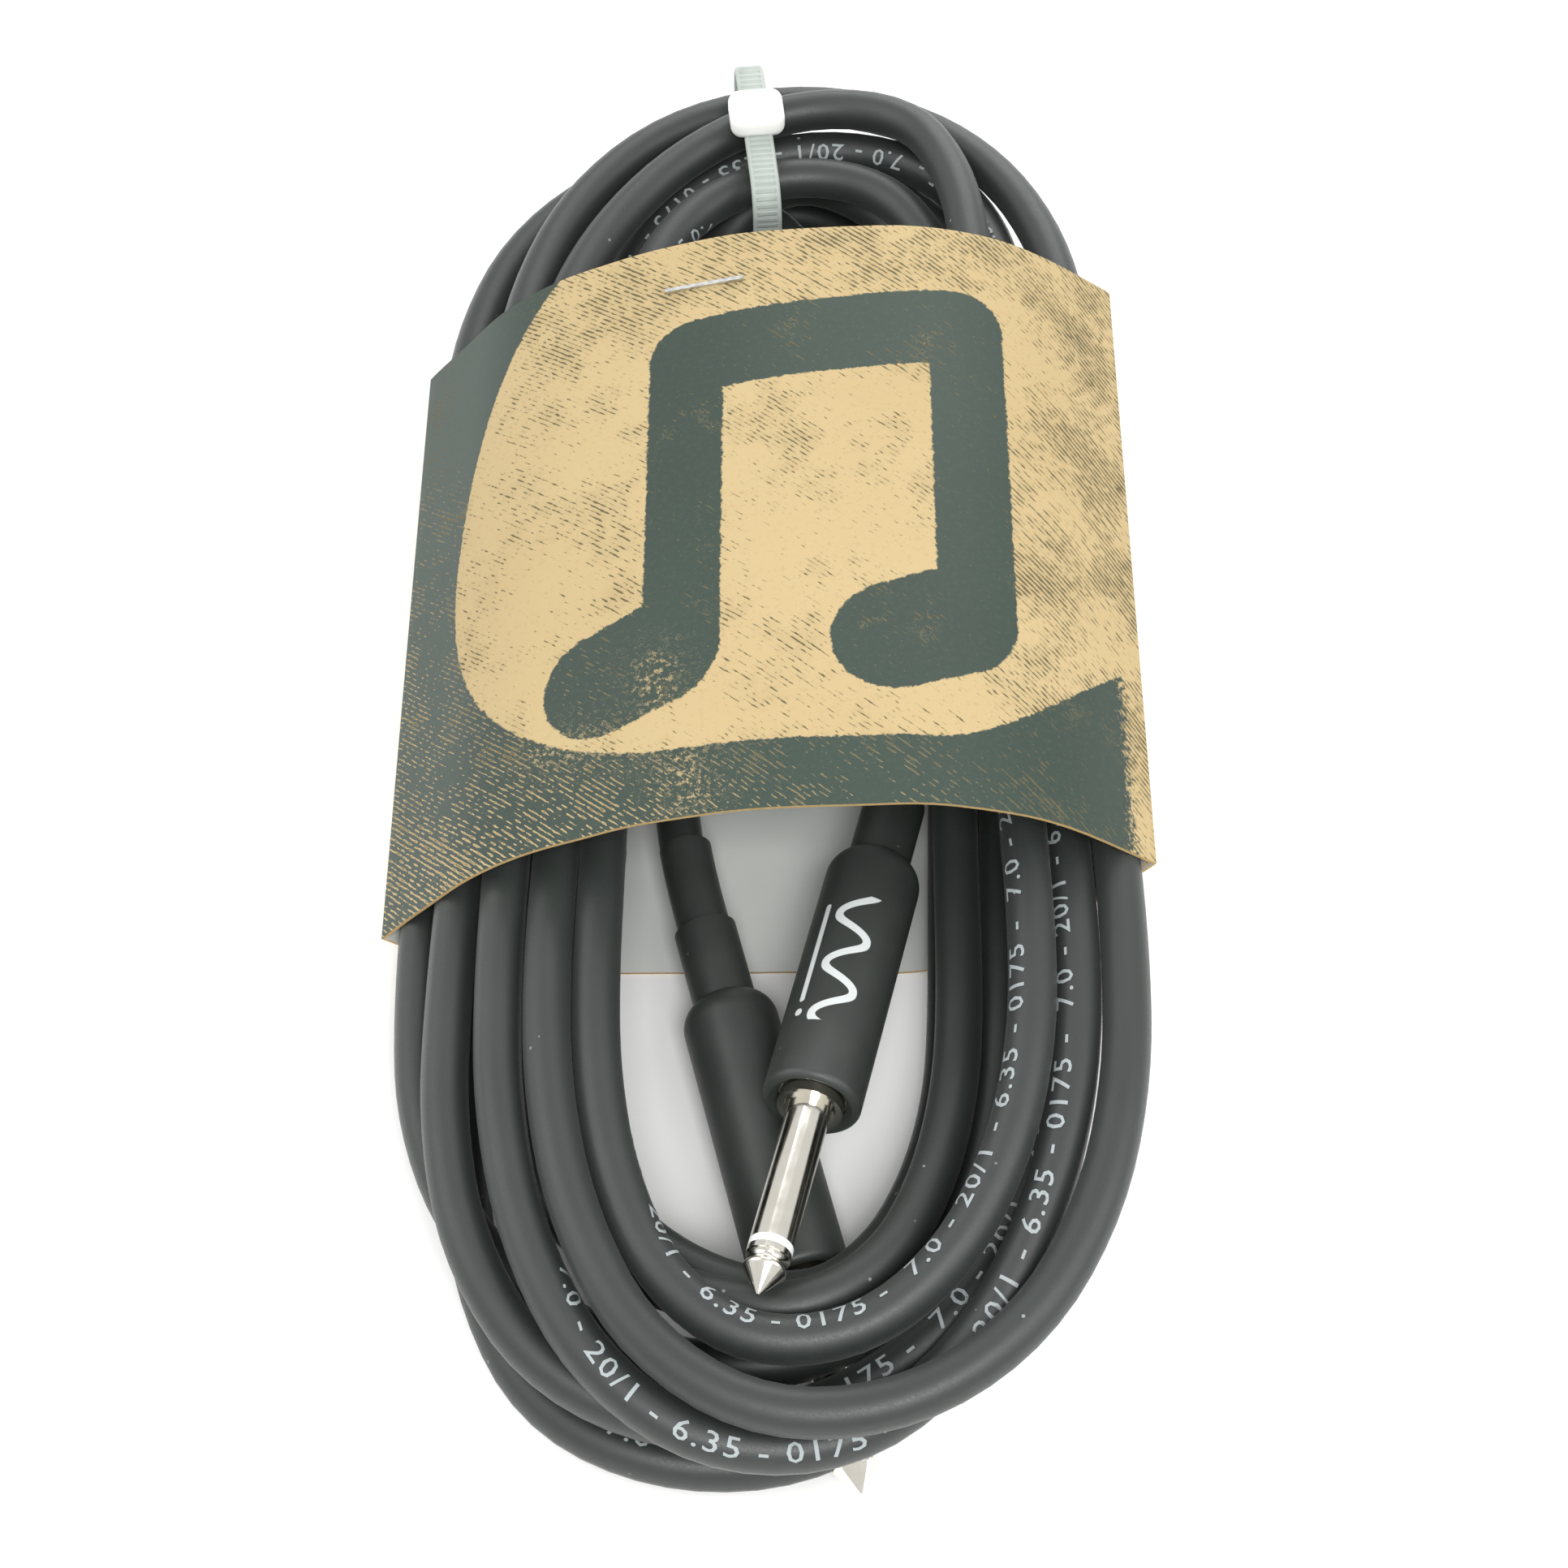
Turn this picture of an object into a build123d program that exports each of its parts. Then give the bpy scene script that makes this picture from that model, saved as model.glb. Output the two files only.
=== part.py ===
from build123d import *
import math
import os

# Instrument cable, coiled into a long oval hank for sale or storage.
# Frame: millimetres, +Z up, the hank's long axis along Y with its tied end at +Y, and the
# origin under the middle of the whole bundle, on the surface that it lies on.

os.makedirs("parts", exist_ok=True)

# ---- cord -------------------------------------------------------------------------------
CORD_D = 7.0            # jacket diameter
FIT = 0.05              # radial clearance between pieces that slide over each other
CORE_INS_D = 3.2        # insulation round the copper core
CORE_D = 1.2            # tinned copper core
SHIELD_D = 1.4          # twisted shield tail

# ---- 6.35 mm two-pole jack plug, along its own axis, 0 at the collar's face, + to the tip ---
SHANK_D = 6.35
SHANK_LEN = 31.75       # collar face to the end of the tip
TIP_LEN = 6.9           # tip contact that shows beyond the white ring
RING_W = 1.2            # white insulating ring
COLLAR_D = 9.6
COLLAR_T = 2.2
STEP_D = 7.5            # low step at the shank's root
STEP_T = 0.5
BOSS_D = 10.0           # threaded part that holds the shell
BOSS_END = -12.0
SLEEVE_BORE_D = 3.6     # bore through the earth sleeve
ROD_D = 2.4             # centre rod behind the tip
SHELL_D = 12.8
SHELL_WALL = 0.85
SHELL_END = -42.0
LINER_T = 0.35
BOOT_D = SHELL_D + 1.7
BOOT_LEN = 46.5
BOOT_FRONT = -0.8       # the boot's rim, just behind the collar's face
BOOT_LIP_T = 1.4        # how far the rim turns in over the shell
SHOULDER_R = 4.6
RIM_R = 1.1
NECK_D = CORD_D + 2.6
NECK_LEN = 13.0
JACKET_END = -33.0      # where the cord's jacket stops inside the plug
RELIEF_D = CORD_D + 1.1  # second sleeve over the cord, behind the neck
RELIEF_LEN = 15.0
LUG_T = 0.5
LUG_W = 3.0
STRIP_T = 0.7
STRIP_W = 4.6
CRIMP_LEN = 5.0
CRIMP_T = 0.7
SOLDER_H = 1.8
SOLDER_UNDER = 0.1      # solder between a wire and the flat under it

# where each plug lies: the collar's centre, how far its tip swings to +X, and how far it rises
LOWER_Z = BOOT_D / 2 + 0.95             # the lower plug's boot clears the card's back panel
UPPER_Z = LOWER_Z + BOOT_D + 0.1        # the upper plug's boot lies across the lower one's
PLUGS = {
    "a": {"collar": (7.0, -78.7, UPPER_Z), "yaw": -13.2, "pitch": 8.5},
    "b": {"collar": (6.2, -99.1, LOWER_Z), "yaw": 14.3, "pitch": -0.9},
}

# free points of each tail, from the plug's axis to the inner face of the hank's tied end
TAIL_AXIS_RUN = BOOT_LEN + NECK_LEN - 13.5     # straight for at least the second sleeve
TAIL_POINTS = {
    "a": [(22.5, 34.0, 9.2), (17.0, 67.0, 10.2), (8.0, 98.0, 12.5)],
    "b": [(-15.6, 13.0, 8.6), (-16.2, 46.0, 8.9), (-14.8, 74.0, 10.4), (-11.4, 98.0, 13.0)],
}

# ---- card sleeve: one folded sheet, open at both ends ------------------------------------
CARD_T = 0.5
CARD_LEN = 113.5
CARD_NEAR = -43.0       # its edge towards the plugs' tips
FOLD_LEFT = (-57.8, 10.5)
FOLD_RIGHT = (57.8, 32.0)
ARCH = [(-40.0, 32.5), (-8.0, 46.6), (36.0, 48.6)]      # corners that the front panel rounds
ARCH_R = [50.0, 85.0, 48.0]
FOOT = [(34.4, 0.25), (-44.0, 0.25)]                    # corners that the back panel rounds
FOOT_R = [32.0, 38.0]
FLAP_W = 13.0           # glued flap inside the right fold

# ---- hank ---------------------------------------------------------------------------------
HANK_LEFT, HANK_RIGHT = -57.3, 55.6
HANK_NEAR, HANK_FAR = -127.6, 130.2
BOW_NEAR, BOW_FAR = 85.0, 69.0          # depth of the rounded ends outside
HOLE_LEFT, HOLE_RIGHT = -20.8, 28.6
HOLE_NEAR, HOLE_FAR = -99.0, 96.0
HOLE_BOW_NEAR, HOLE_BOW_FAR = 40.0, 34.0
HANK_GAP = 0.4          # between the bundle and the sleeve's inside
HANK_TOP = [(-136.0, 20.0), (-118.0, 23.6), (-99.0, 21.4), (-84.0, 27.0), (-70.0, 33.0), (-43.0, 39.0),
            (60.0, 38.0), (90.0, 31.0), (104.0, 29.2), (136.0, 28.4)]   # height along Y
PILE_TOP = [(-62.0, 14.0), (-52.0, 22.0), (-42.0, 28.5), (-18.0, 31.5), (8.0, 31.5),
            (28.0, 38.0), (42.0, 40.0), (62.0, 36.0)]   # and across X
PLUG_GAP = 0.3          # the bundle round a plug

# ---- cable tie -----------------------------------------------------------------------------
TIE_W = 5.0
TIE_T = 1.3
TIE_X, TIE_Y = -1.4, 113.0
TIE_TURN = 6.0          # degrees about Z
TIE_SPAN_Y = (94.0, 130.8)
TIE_SPAN_Z = (0.3, 30.6)
TIE_CORNER = 6.0
HEAD = (9.6, 8.4, 5.6)
TEETH = 16
TOOTH_DEPTH = 0.3

# ---- staple --------------------------------------------------------------------------------
STAPLE_WIDTH = 12.6
STAPLE_WIRE = (0.7, 0.5)
STAPLE_X, STAPLE_Y = -9.4, CARD_NEAR + CARD_LEN - 10.5
STAPLE_LEG = 2.4


def write(name, shape):
    shape.label = name
    export_step(shape, f"parts/{name}.step")
    print(f"{name}: {sum(s.volume for s in shape.solids()):.1f} mm3")


def turned(points):
    """A solid of revolution about the plug's axis from (radius, station) points."""
    outline = Polyline([(r, 0, s) for r, s in points], close=True)
    return revolve(make_face(outline), Axis.Z, 360)


def rod(diameter, start, end, x=0.0, y=0.0):
    cylinder = Cylinder(diameter / 2, end - start, align=(Align.CENTER, Align.CENTER, Align.MIN))
    return Pos(x, y, start) * cylinder


def tube(outer, inner, start, end):
    return rod(outer, start, end) - rod(inner, start - 1, end + 1)


def slab(x, y, z):
    """A box from three (low, high) pairs."""
    size = [high - low for low, high in (x, y, z)]
    middle = [(high + low) / 2 for low, high in (x, y, z)]
    return Pos(*middle) * Box(*size)


# ---- the plug's pieces, on its own axis ----------------------------------------------------
RING_START = SHANK_LEN - TIP_LEN - RING_W
RING_END = RING_START + RING_W
BOOT_END = BOOT_FRONT - BOOT_LEN
NECK_END = BOOT_END - NECK_LEN
SHELL_FRONT = -COLLAR_T - 0.1
INS_BORE_D = ROD_D + 2 * FIT
WASHER_T = 2.0
LUG_RING_T = 0.8
LUG_RING_D = 4.8
PEEN_D = 3.8
PEEN_T = 0.6
ROD_END = BOSS_END - WASHER_T - LUG_RING_T - PEEN_T
LUG_FRONT = BOSS_END - WASHER_T
LUG_END = LUG_FRONT - 7.5
STRIP_OUT = BOSS_D / 2 - 0.6
STRIP_IN = STRIP_OUT - STRIP_T
CRIMP_START = JACKET_END - CRIMP_LEN - 1.0
CORE_INS_END = JACKET_END + 8.5
LUG_TOP = -CORE_D / 2 - SOLDER_UNDER


def ground_sleeve():
    """Collar, threaded boss and shank turned from one brass bar."""
    r, bore = SHANK_D / 2, SLEEVE_BORE_D / 2
    body = turned([(bore, BOSS_END), (BOSS_D / 2, BOSS_END), (BOSS_D / 2, -COLLAR_T),
                   (COLLAR_D / 2, -COLLAR_T), (COLLAR_D / 2, 0), (STEP_D / 2, 0),
                   (STEP_D / 2, STEP_T), (r, STEP_T), (r, RING_START), (bore, RING_START)])
    return body


def tip_insulator():
    """Nylon tube down the sleeve's bore, with the white ring that shows before the tip."""
    outer, bore = SLEEVE_BORE_D / 2 - FIT, INS_BORE_D / 2
    return turned([(bore, BOSS_END), (outer, BOSS_END), (outer, RING_START),
                   (SHANK_D / 2, RING_START), (SHANK_D / 2, RING_END), (bore, RING_END)])


def tip_contact():
    """Tip with its land, waist, round bulge and cone, on the centre rod."""
    s = RING_END
    land, waist, bulge, nose = SHANK_D / 2, 2.35, 3.1, 0.45
    end = SHANK_LEN
    with BuildPart() as tip:
        with BuildSketch(Plane.XZ):
            with BuildLine():
                Polyline([(0, ROD_END), (PEEN_D / 2, ROD_END), (PEEN_D / 2, ROD_END + PEEN_T),
                          (ROD_D / 2, ROD_END + PEEN_T), (ROD_D / 2, s), (land, s), (land, s + 0.9)])
                ThreePointArc((land, s + 0.9), (waist, s + 1.75), (bulge - 0.15, s + 2.55))
                ThreePointArc((bulge - 0.15, s + 2.55), (bulge, s + 2.95), (bulge - 0.2, s + 3.4))
                Line((bulge - 0.2, s + 3.4), (nose, end - 0.25))
                Polyline([(nose, end - 0.25), (nose * 0.5, end), (0, end), (0, ROD_END)])
            make_face()
        revolve(axis=Axis.Z)
    return tip.part


def rear_insulator():
    return tube(2 * STRIP_IN - 0.6, INS_BORE_D, BOSS_END - WASHER_T, BOSS_END)


def tip_terminal():
    """Ring under the rod's peened end, with a tongue for the core."""
    wide = (-LUG_W / 2, LUG_W / 2)
    ring_back, step, low = LUG_FRONT - LUG_RING_T, LUG_END + 4.2, -LUG_RING_D / 2
    ring = tube(LUG_RING_D, ROD_D, ring_back, LUG_FRONT)
    foot = slab(wide, (low, low + LUG_T), (step - LUG_T, ring_back))
    riser = slab(wide, (low, LUG_TOP), (step - LUG_T, step))
    tongue = slab(wide, (LUG_TOP - LUG_T, LUG_TOP), (LUG_END, step))
    return ring + foot + riser + tongue - rod(PEEN_D + 2 * FIT, ROD_END - FIT, ring_back)


def ground_terminal():
    """Strip from the boss back to a band that grips the jacket."""
    strip = slab((-STRIP_W / 2, STRIP_W / 2), (-STRIP_OUT, -STRIP_IN), (CRIMP_START, BOSS_END))
    inner, outer = CORD_D / 2 + FIT, CORD_D / 2 + FIT + CRIMP_T
    band = tube(2 * outer, 2 * inner, CRIMP_START, CRIMP_START + CRIMP_LEN)
    gap = slab((-1.2, 1.2), (0, outer + 1), (CRIMP_START - 1, CRIMP_START + CRIMP_LEN + 1))
    keep = rod(2 * (SHELL_D / 2 - SHELL_WALL - LINER_T - 0.1), CRIMP_START, BOSS_END)
    bore = rod(2 * inner, CRIMP_START - 1, CRIMP_START + CRIMP_LEN + 1)
    return (strip + band - gap - bore) & keep


def shell():
    """Barrel that screws on the boss and closes in behind the crimp."""
    out, wide = SHELL_D / 2, SHELL_D / 2 - SHELL_WALL
    snug = BOSS_D / 2 + 0.02
    return turned([(snug, SHELL_FRONT), (out, SHELL_FRONT), (out, SHELL_END + 2.0), (out - 1.4, SHELL_END),
                   (CORD_D / 2 + 0.3, SHELL_END), (CORD_D / 2 + 0.3, SHELL_END + 0.8),
                   (wide, SHELL_END + 1.6), (wide, BOSS_END), (snug, BOSS_END)])


def liner():
    outer = SHELL_D - 2 * SHELL_WALL - 2 * FIT
    return tube(outer, outer - 2 * LINER_T, SHELL_END + 2.0, BOSS_END - 0.2)


def boot():
    """Soft outer sleeve: turned-in rim, straight barrel, round shoulder and neck."""
    out, bore = BOOT_D / 2, SHELL_D / 2 + FIT
    lip = BOSS_D / 2 + 0.1
    lip_back = SHELL_FRONT + FIT
    cord = CORD_D / 2 + FIT
    with BuildPart() as piece:
        with BuildSketch(Plane.XZ):
            with BuildLine():
                Line((lip + 1.0, BOOT_FRONT), (out - RIM_R, BOOT_FRONT))
                TangentArc((out - RIM_R, BOOT_FRONT), (out, BOOT_FRONT - RIM_R), tangent=(1, 0))
                turn = math.acos((NECK_D / 2 - out + SHOULDER_R) / SHOULDER_R)
                start = BOOT_END + SHOULDER_R * math.sin(turn)
                shoulder = [(out - SHOULDER_R + SHOULDER_R * math.cos(t), start - SHOULDER_R * math.sin(t))
                            for t in (0, turn / 2, turn)]
                Line((out, BOOT_FRONT - RIM_R), shoulder[0])
                ThreePointArc(*shoulder)
                Polyline([shoulder[2], (NECK_D / 2, NECK_END),
                          (cord, NECK_END), (cord, SHELL_END - 1.0), (bore - 1.2, SHELL_END - 1.0),
                          (bore, SHELL_END + 1.4), (bore, lip_back), (lip, lip_back),
                          (lip, BOOT_FRONT - 1.0), (lip + 1.0, BOOT_FRONT)])
            make_face()
        revolve(axis=Axis.Z)
    return piece.part


def core_insulation():
    return rod(CORE_INS_D, JACKET_END, CORE_INS_END)


def core_wire():
    return rod(CORE_D, CORE_INS_END, LUG_END + 3.4)


def shield_tail():
    """Braid drawn aside at the jacket's end and laid along the earth strip."""
    low = -STRIP_IN + SHIELD_D / 2 + SOLDER_UNDER
    return rod(SHIELD_D, JACKET_END, JACKET_END + 7.0, y=low)


def solder(wire, floor_y, station, radius):
    """Bead that stands on a flat and takes in the wire that lies there."""
    bead = Cone(radius, 0.55 * radius, SOLDER_H, align=(Align.CENTER, Align.CENTER, Align.MIN))
    return Pos(0, floor_y, station) * Rot(-90, 0, 0) * bead - wire


def on_axis(key, shape):
    """Puts a piece made on the plug's own axis where that plug lies."""
    yaw, pitch = (math.radians(PLUGS[key][k]) for k in ("yaw", "pitch"))
    ahead = Vector(math.sin(yaw) * math.cos(pitch), -math.cos(yaw) * math.cos(pitch), math.sin(pitch))
    side = Vector(math.cos(yaw), math.sin(yaw), 0)
    plane = Plane(origin=PLUGS[key]["collar"], x_dir=side, z_dir=ahead)
    return plane.location * shape, plane


def plug_pieces():
    sleeve, terminal, earth = ground_sleeve(), tip_terminal(), ground_terminal()
    core, wire, braid = core_insulation(), core_wire(), shield_tail()
    return {
        "tip_contact": tip_contact(),
        "tip_insulator": tip_insulator(),
        "ground_sleeve": sleeve,
        "rear_insulator": rear_insulator(),
        "tip_terminal": terminal,
        "ground_terminal": earth,
        "core_insulation": core,
        "core_wire": wire,
        "shield_tail": braid,
        "tip_solder": solder(wire, LUG_TOP, LUG_END + 1.8, 1.5),
        "ground_solder": solder(braid, -STRIP_IN, JACKET_END + 5.4, 1.7),
        "shell": shell(),
        "liner": liner(),
        "boot": boot(),
    }


# ---- cord tails ------------------------------------------------------------------------------
def tail_path(key, plane):
    """Straight runs joined by tangent arcs, each as large as its two runs allow."""
    start = plane.from_local_coords(Vector(0, 0, JACKET_END))
    bend = plane.from_local_coords(Vector(0, 0, JACKET_END - TAIL_AXIS_RUN))
    points = [start, bend] + [Vector(*p) for p in TAIL_POINTS[key]]
    runs = [b - a for a, b in zip(points, points[1:])]
    radii = []
    for before, after in zip(runs, runs[1:]):
        half = math.radians(before.get_angle(after)) / 2
        radii.append(0.45 * min(before.length, after.length) / math.tan(half))
    print(f"tail {key} radii", [round(r, 1) for r in radii], "runs", [round(r.length, 1) for r in runs])
    return FilletPolyline(points, radius=radii)


def swept(path, diameter):
    section = Plane(origin=path @ 0, z_dir=path % 0) * Circle(diameter / 2)
    return sweep(section, path=path)


# ---- card sleeve -------------------------------------------------------------------------------
def card_line():
    """The sheet's middle line across the hank: arched front, flat-footed back."""
    ends = [Vector(x, 0, z) for x, z in (FOLD_LEFT, FOLD_RIGHT)]
    front = FilletPolyline([ends[0]] + [Vector(x, 0, z) for x, z in ARCH] + [ends[1]], radius=ARCH_R)
    back = FilletPolyline([ends[1]] + [Vector(x, 0, z) for x, z in FOOT] + [ends[0]], radius=FOOT_R)
    return Wire(front.edges() + back.edges())


def across(wire, amount, near, far):
    """A prism along Y of the card's middle line moved outwards by amount."""
    ring = wire.offset_2d(amount, kind=Kind.INTERSECTION) if amount else wire
    face = Face(ring)
    prism = extrude(face, amount=far - near, dir=(0, 1, 0))
    return Pos(0, near, 0) * prism


def card_sleeve(wire, staple_legs):
    far = CARD_NEAR + CARD_LEN
    inside = across(wire, -CARD_T / 2, CARD_NEAR - 1, far + 1)
    sleeve = across(wire, CARD_T / 2, CARD_NEAR, far) - inside
    flap_ring = across(wire, -CARD_T / 2 + 0.01, CARD_NEAR, far) - across(wire, -1.5 * CARD_T, CARD_NEAR - 1, far + 1)
    slope = math.degrees(math.atan2(FOLD_RIGHT[1] - FOOT[0][1], FOLD_RIGHT[0] - FOOT[0][0]))
    strip = slab((-FLAP_W, -CARD_T), (CARD_NEAR + 0.6, far - 0.6), (-1.5, 2.2))
    strip = Pos(FOLD_RIGHT[0], 0, FOLD_RIGHT[1]) * Rot(0, -slope, 0) * strip
    flap = flap_ring & strip
    whole = sleeve + flap
    for leg in staple_legs:
        whole = whole - leg
    return whole


def arch_height(wire, x):
    """Height of the sheet's middle line on the front panel at x."""
    ray = Edge.make_line((x, 0, 30), (x, 0, 80))
    hits = [e.intersect(ray) for e in wire.edges()]
    points = [p for hit in hits if hit for p in hit.vertices()]
    return max(p.Z for p in points)


def staple(wire):
    """Flat-wire staple through the front panel: crown outside, legs folded flat inside."""
    width, thick = STAPLE_WIRE
    half = STAPLE_WIDTH / 2
    left, right = (arch_height(wire, STAPLE_X + s * half) for s in (-1, 1))
    tilt = math.degrees(math.atan2(right - left, STAPLE_WIDTH))
    middle = (left + right) / 2
    skin = CARD_T / 2
    sag = max(arch_height(wire, STAPLE_X) - middle, 0.0)
    top = sag + skin + thick
    crown = slab((-half, half), (-width / 2, width / 2), (sag + skin, top))
    legs = [slab((s * half - thick / 2, s * half + thick / 2), (-width / 2, width / 2),
                 (-STAPLE_LEG + skin, top)) for s in (-1, 1)]
    feet = [slab(sorted((s * half, s * (half - 4.0))), (-width / 2, width / 2),
                 (-STAPLE_LEG + skin - thick, -STAPLE_LEG + skin)) for s in (-1, 1)]
    tips = [slab((s * half - thick / 2, s * half + thick / 2), (-width / 2, width / 2),
                 (-STAPLE_LEG + skin - thick, -STAPLE_LEG + skin)) for s in (-1, 1)]
    place = Pos(STAPLE_X, STAPLE_Y, middle) * Rot(0, -tilt, 0)
    whole = crown
    for piece in legs + feet + tips:
        whole = whole + piece
    return place * whole


# ---- hank and its tie -------------------------------------------------------------------------
def oval(left, right, near, far, bow_near, bow_far, height):
    """A long oval plate: straight sides and half-ellipse ends."""
    middle, half = (left + right) / 2, (right - left) / 2
    low, high = near + bow_near, far - bow_far
    with BuildPart() as plate:
        with BuildSketch():
            with BuildLine():
                Line((left, high), (left, low))
                EllipticalCenterArc((middle, low), half, bow_near, start_angle=180, arc_size=180)
                Line((right, low), (right, high))
                EllipticalCenterArc((middle, high), half, bow_far, start_angle=0, arc_size=180)
            make_face()
        extrude(amount=height)
    return plate.part


def under_curve(points, plane, low, reach):
    """The space below a height profile, right through the bundle."""
    outline = [(points[0][0], low)] + points + [(points[-1][0], low)]
    face = make_face(Polyline([plane.from_local_coords((u, v)) for u, v in outline], close=True))
    return extrude(face, amount=reach, both=True)


def tie_place(shape):
    return Pos(TIE_X, TIE_Y, 0) * Rot(0, 0, TIE_TURN) * Pos(0, -TIE_Y, 0) * shape


def tie_prism(inset, width):
    """The strap's rounded outline in the Y-Z plane, drawn in by inset, as a prism along X."""
    (y0, y1), (z0, z1) = TIE_SPAN_Y, TIE_SPAN_Z
    face = RectangleRounded(y1 - y0 - 2 * inset, z1 - z0 - 2 * inset, TIE_CORNER - inset)
    plane = Plane(origin=(-width / 2, (y0 + y1) / 2, (z0 + z1) / 2), x_dir=(0, 1, 0), z_dir=(1, 0, 0))
    return extrude(plane * face, amount=width)


def cable_tie():
    loop = tie_prism(0, TIE_W) - tie_prism(TIE_T, TIE_W + 2)
    top = TIE_SPAN_Z[1]
    head_y = TIE_Y + 0.5
    head = slab((-HEAD[0] / 2, HEAD[0] / 2), (head_y - HEAD[1] / 2, head_y + HEAD[1] / 2),
                (top - TIE_T, top - TIE_T + HEAD[2]))
    head = fillet(head.edges().group_by(Axis.Z)[-1], 1.1)
    pitch = (head_y - HEAD[1] / 2 - TIE_SPAN_Y[0] - TIE_CORNER) / (TEETH / 2)
    grooves = [slab((-TIE_W / 2 + 0.7, TIE_W / 2 - 0.7),
                    (TIE_SPAN_Y[0] + TIE_CORNER + i * pitch, TIE_SPAN_Y[0] + TIE_CORNER + (i + 0.5) * pitch),
                    (top - TOOTH_DEPTH, top + 1)) for i in range(TEETH // 2)]
    whole = loop + head
    for groove in grooves:
        whole = whole - groove
    return tie_place(whole)


def hank(wire, pieces, tails):
    """Outer shape of the coiled bundle, with its opening, inside the sleeve's way."""
    outer = oval(HANK_LEFT, HANK_RIGHT, HANK_NEAR, HANK_FAR, BOW_NEAR, BOW_FAR, 60)
    hole = oval(HOLE_LEFT, HOLE_RIGHT, HOLE_NEAR, HOLE_FAR, HOLE_BOW_NEAR, HOLE_BOW_FAR, 60)
    flap_and_gap = -CARD_T / 2 - CARD_T - HANK_GAP
    inside = across(wire, flap_and_gap, HANK_NEAR - 10, HANK_FAR + 10)
    along = under_curve(HANK_TOP, Plane(origin=(0, 0, 0), x_dir=(0, 1, 0), z_dir=(1, 0, 0)), -5, 80)
    over = under_curve(PILE_TOP, Plane(origin=(0, 0, 0), x_dir=(1, 0, 0), z_dir=(0, -1, 0)), -5, 150)
    bundle = (outer - hole) & inside & along & over
    waist = tie_place(slab((-TIE_W / 2 - 0.1, TIE_W / 2 + 0.1), (80, 145), (-5, 60)))
    cinch = tie_place(tie_prism(TIE_T + FIT, TIE_W + 0.2))
    bundle = bundle - (waist - cinch)
    for cutter in pieces + tails:
        bundle = bundle - cutter
    return max(bundle.solids(), key=lambda s: s.volume)


def plug_room(plane):
    """The space that one plug needs in the bundle."""
    room = rod(BOOT_D + 2 * PLUG_GAP, BOOT_END - 1, BOOT_FRONT + PLUG_GAP)
    room += rod(COLLAR_D + 2 * PLUG_GAP, BOOT_FRONT, STEP_T + PLUG_GAP)
    room += rod(SHANK_D + 2 * PLUG_GAP, 0, SHANK_LEN + PLUG_GAP)
    return plane.location * room


made = plug_pieces()
rooms, tubes = [], []
for key in PLUGS:
    for name, shape in made.items():
        placed, plane = on_axis(key, shape)
        write(f"plug_{key}_{name}", placed)
    path = tail_path(key, plane)
    cord = swept(path, CORD_D)
    print(f"tail {key} length {path.length:.1f}, volume over section x length "
          f"{cord.volume / (math.pi * CORD_D ** 2 / 4 * path.length):.4f}")
    write(f"cord_tail_{key}", cord)
    sleeve_start = JACKET_END - NECK_END
    sleeved = path.trim((sleeve_start + 0.2) / path.length, (sleeve_start + 0.2 + RELIEF_LEN) / path.length)
    relief = swept(sleeved, RELIEF_D) - swept(path, CORD_D + 2 * FIT)
    write(f"strain_relief_{key}", relief)
    rooms.append(plug_room(plane))
    tubes.append(cord)
    tubes.append(swept(sleeved, RELIEF_D + 2 * FIT))

sheet = card_line()
clip = staple(sheet)
write("staple", clip)
write("card_sleeve", card_sleeve(sheet, [clip]))
write("cable_tie", cable_tie())
write("cable_hank", hank(sheet, rooms, tubes))
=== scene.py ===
import math

import bmesh
import bpy
import numpy as np
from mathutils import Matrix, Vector


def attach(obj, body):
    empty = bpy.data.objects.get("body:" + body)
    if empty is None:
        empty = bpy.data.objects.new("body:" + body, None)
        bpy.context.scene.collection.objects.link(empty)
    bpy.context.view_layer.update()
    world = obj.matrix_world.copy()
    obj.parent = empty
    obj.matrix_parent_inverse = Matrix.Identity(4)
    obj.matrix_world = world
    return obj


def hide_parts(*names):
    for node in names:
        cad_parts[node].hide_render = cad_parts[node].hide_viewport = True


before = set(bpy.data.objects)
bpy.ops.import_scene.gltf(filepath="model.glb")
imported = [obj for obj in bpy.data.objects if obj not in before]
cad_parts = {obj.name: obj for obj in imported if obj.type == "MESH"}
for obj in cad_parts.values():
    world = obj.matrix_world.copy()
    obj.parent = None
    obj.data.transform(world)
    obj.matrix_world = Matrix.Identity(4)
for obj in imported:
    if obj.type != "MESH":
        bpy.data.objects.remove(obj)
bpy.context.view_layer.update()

bl_info = {
    "name": "Coiled Instrument Cable",
    "version": (1, 0, 0),
    "blender": (4, 5, 0),
    "location": "View3D > Sidebar > Cable",
    "description": "Builds the coiled instrument cable's cord, printed card sleeve, tie and finishes",
    "category": "Object",
}

MM = 0.001

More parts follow.
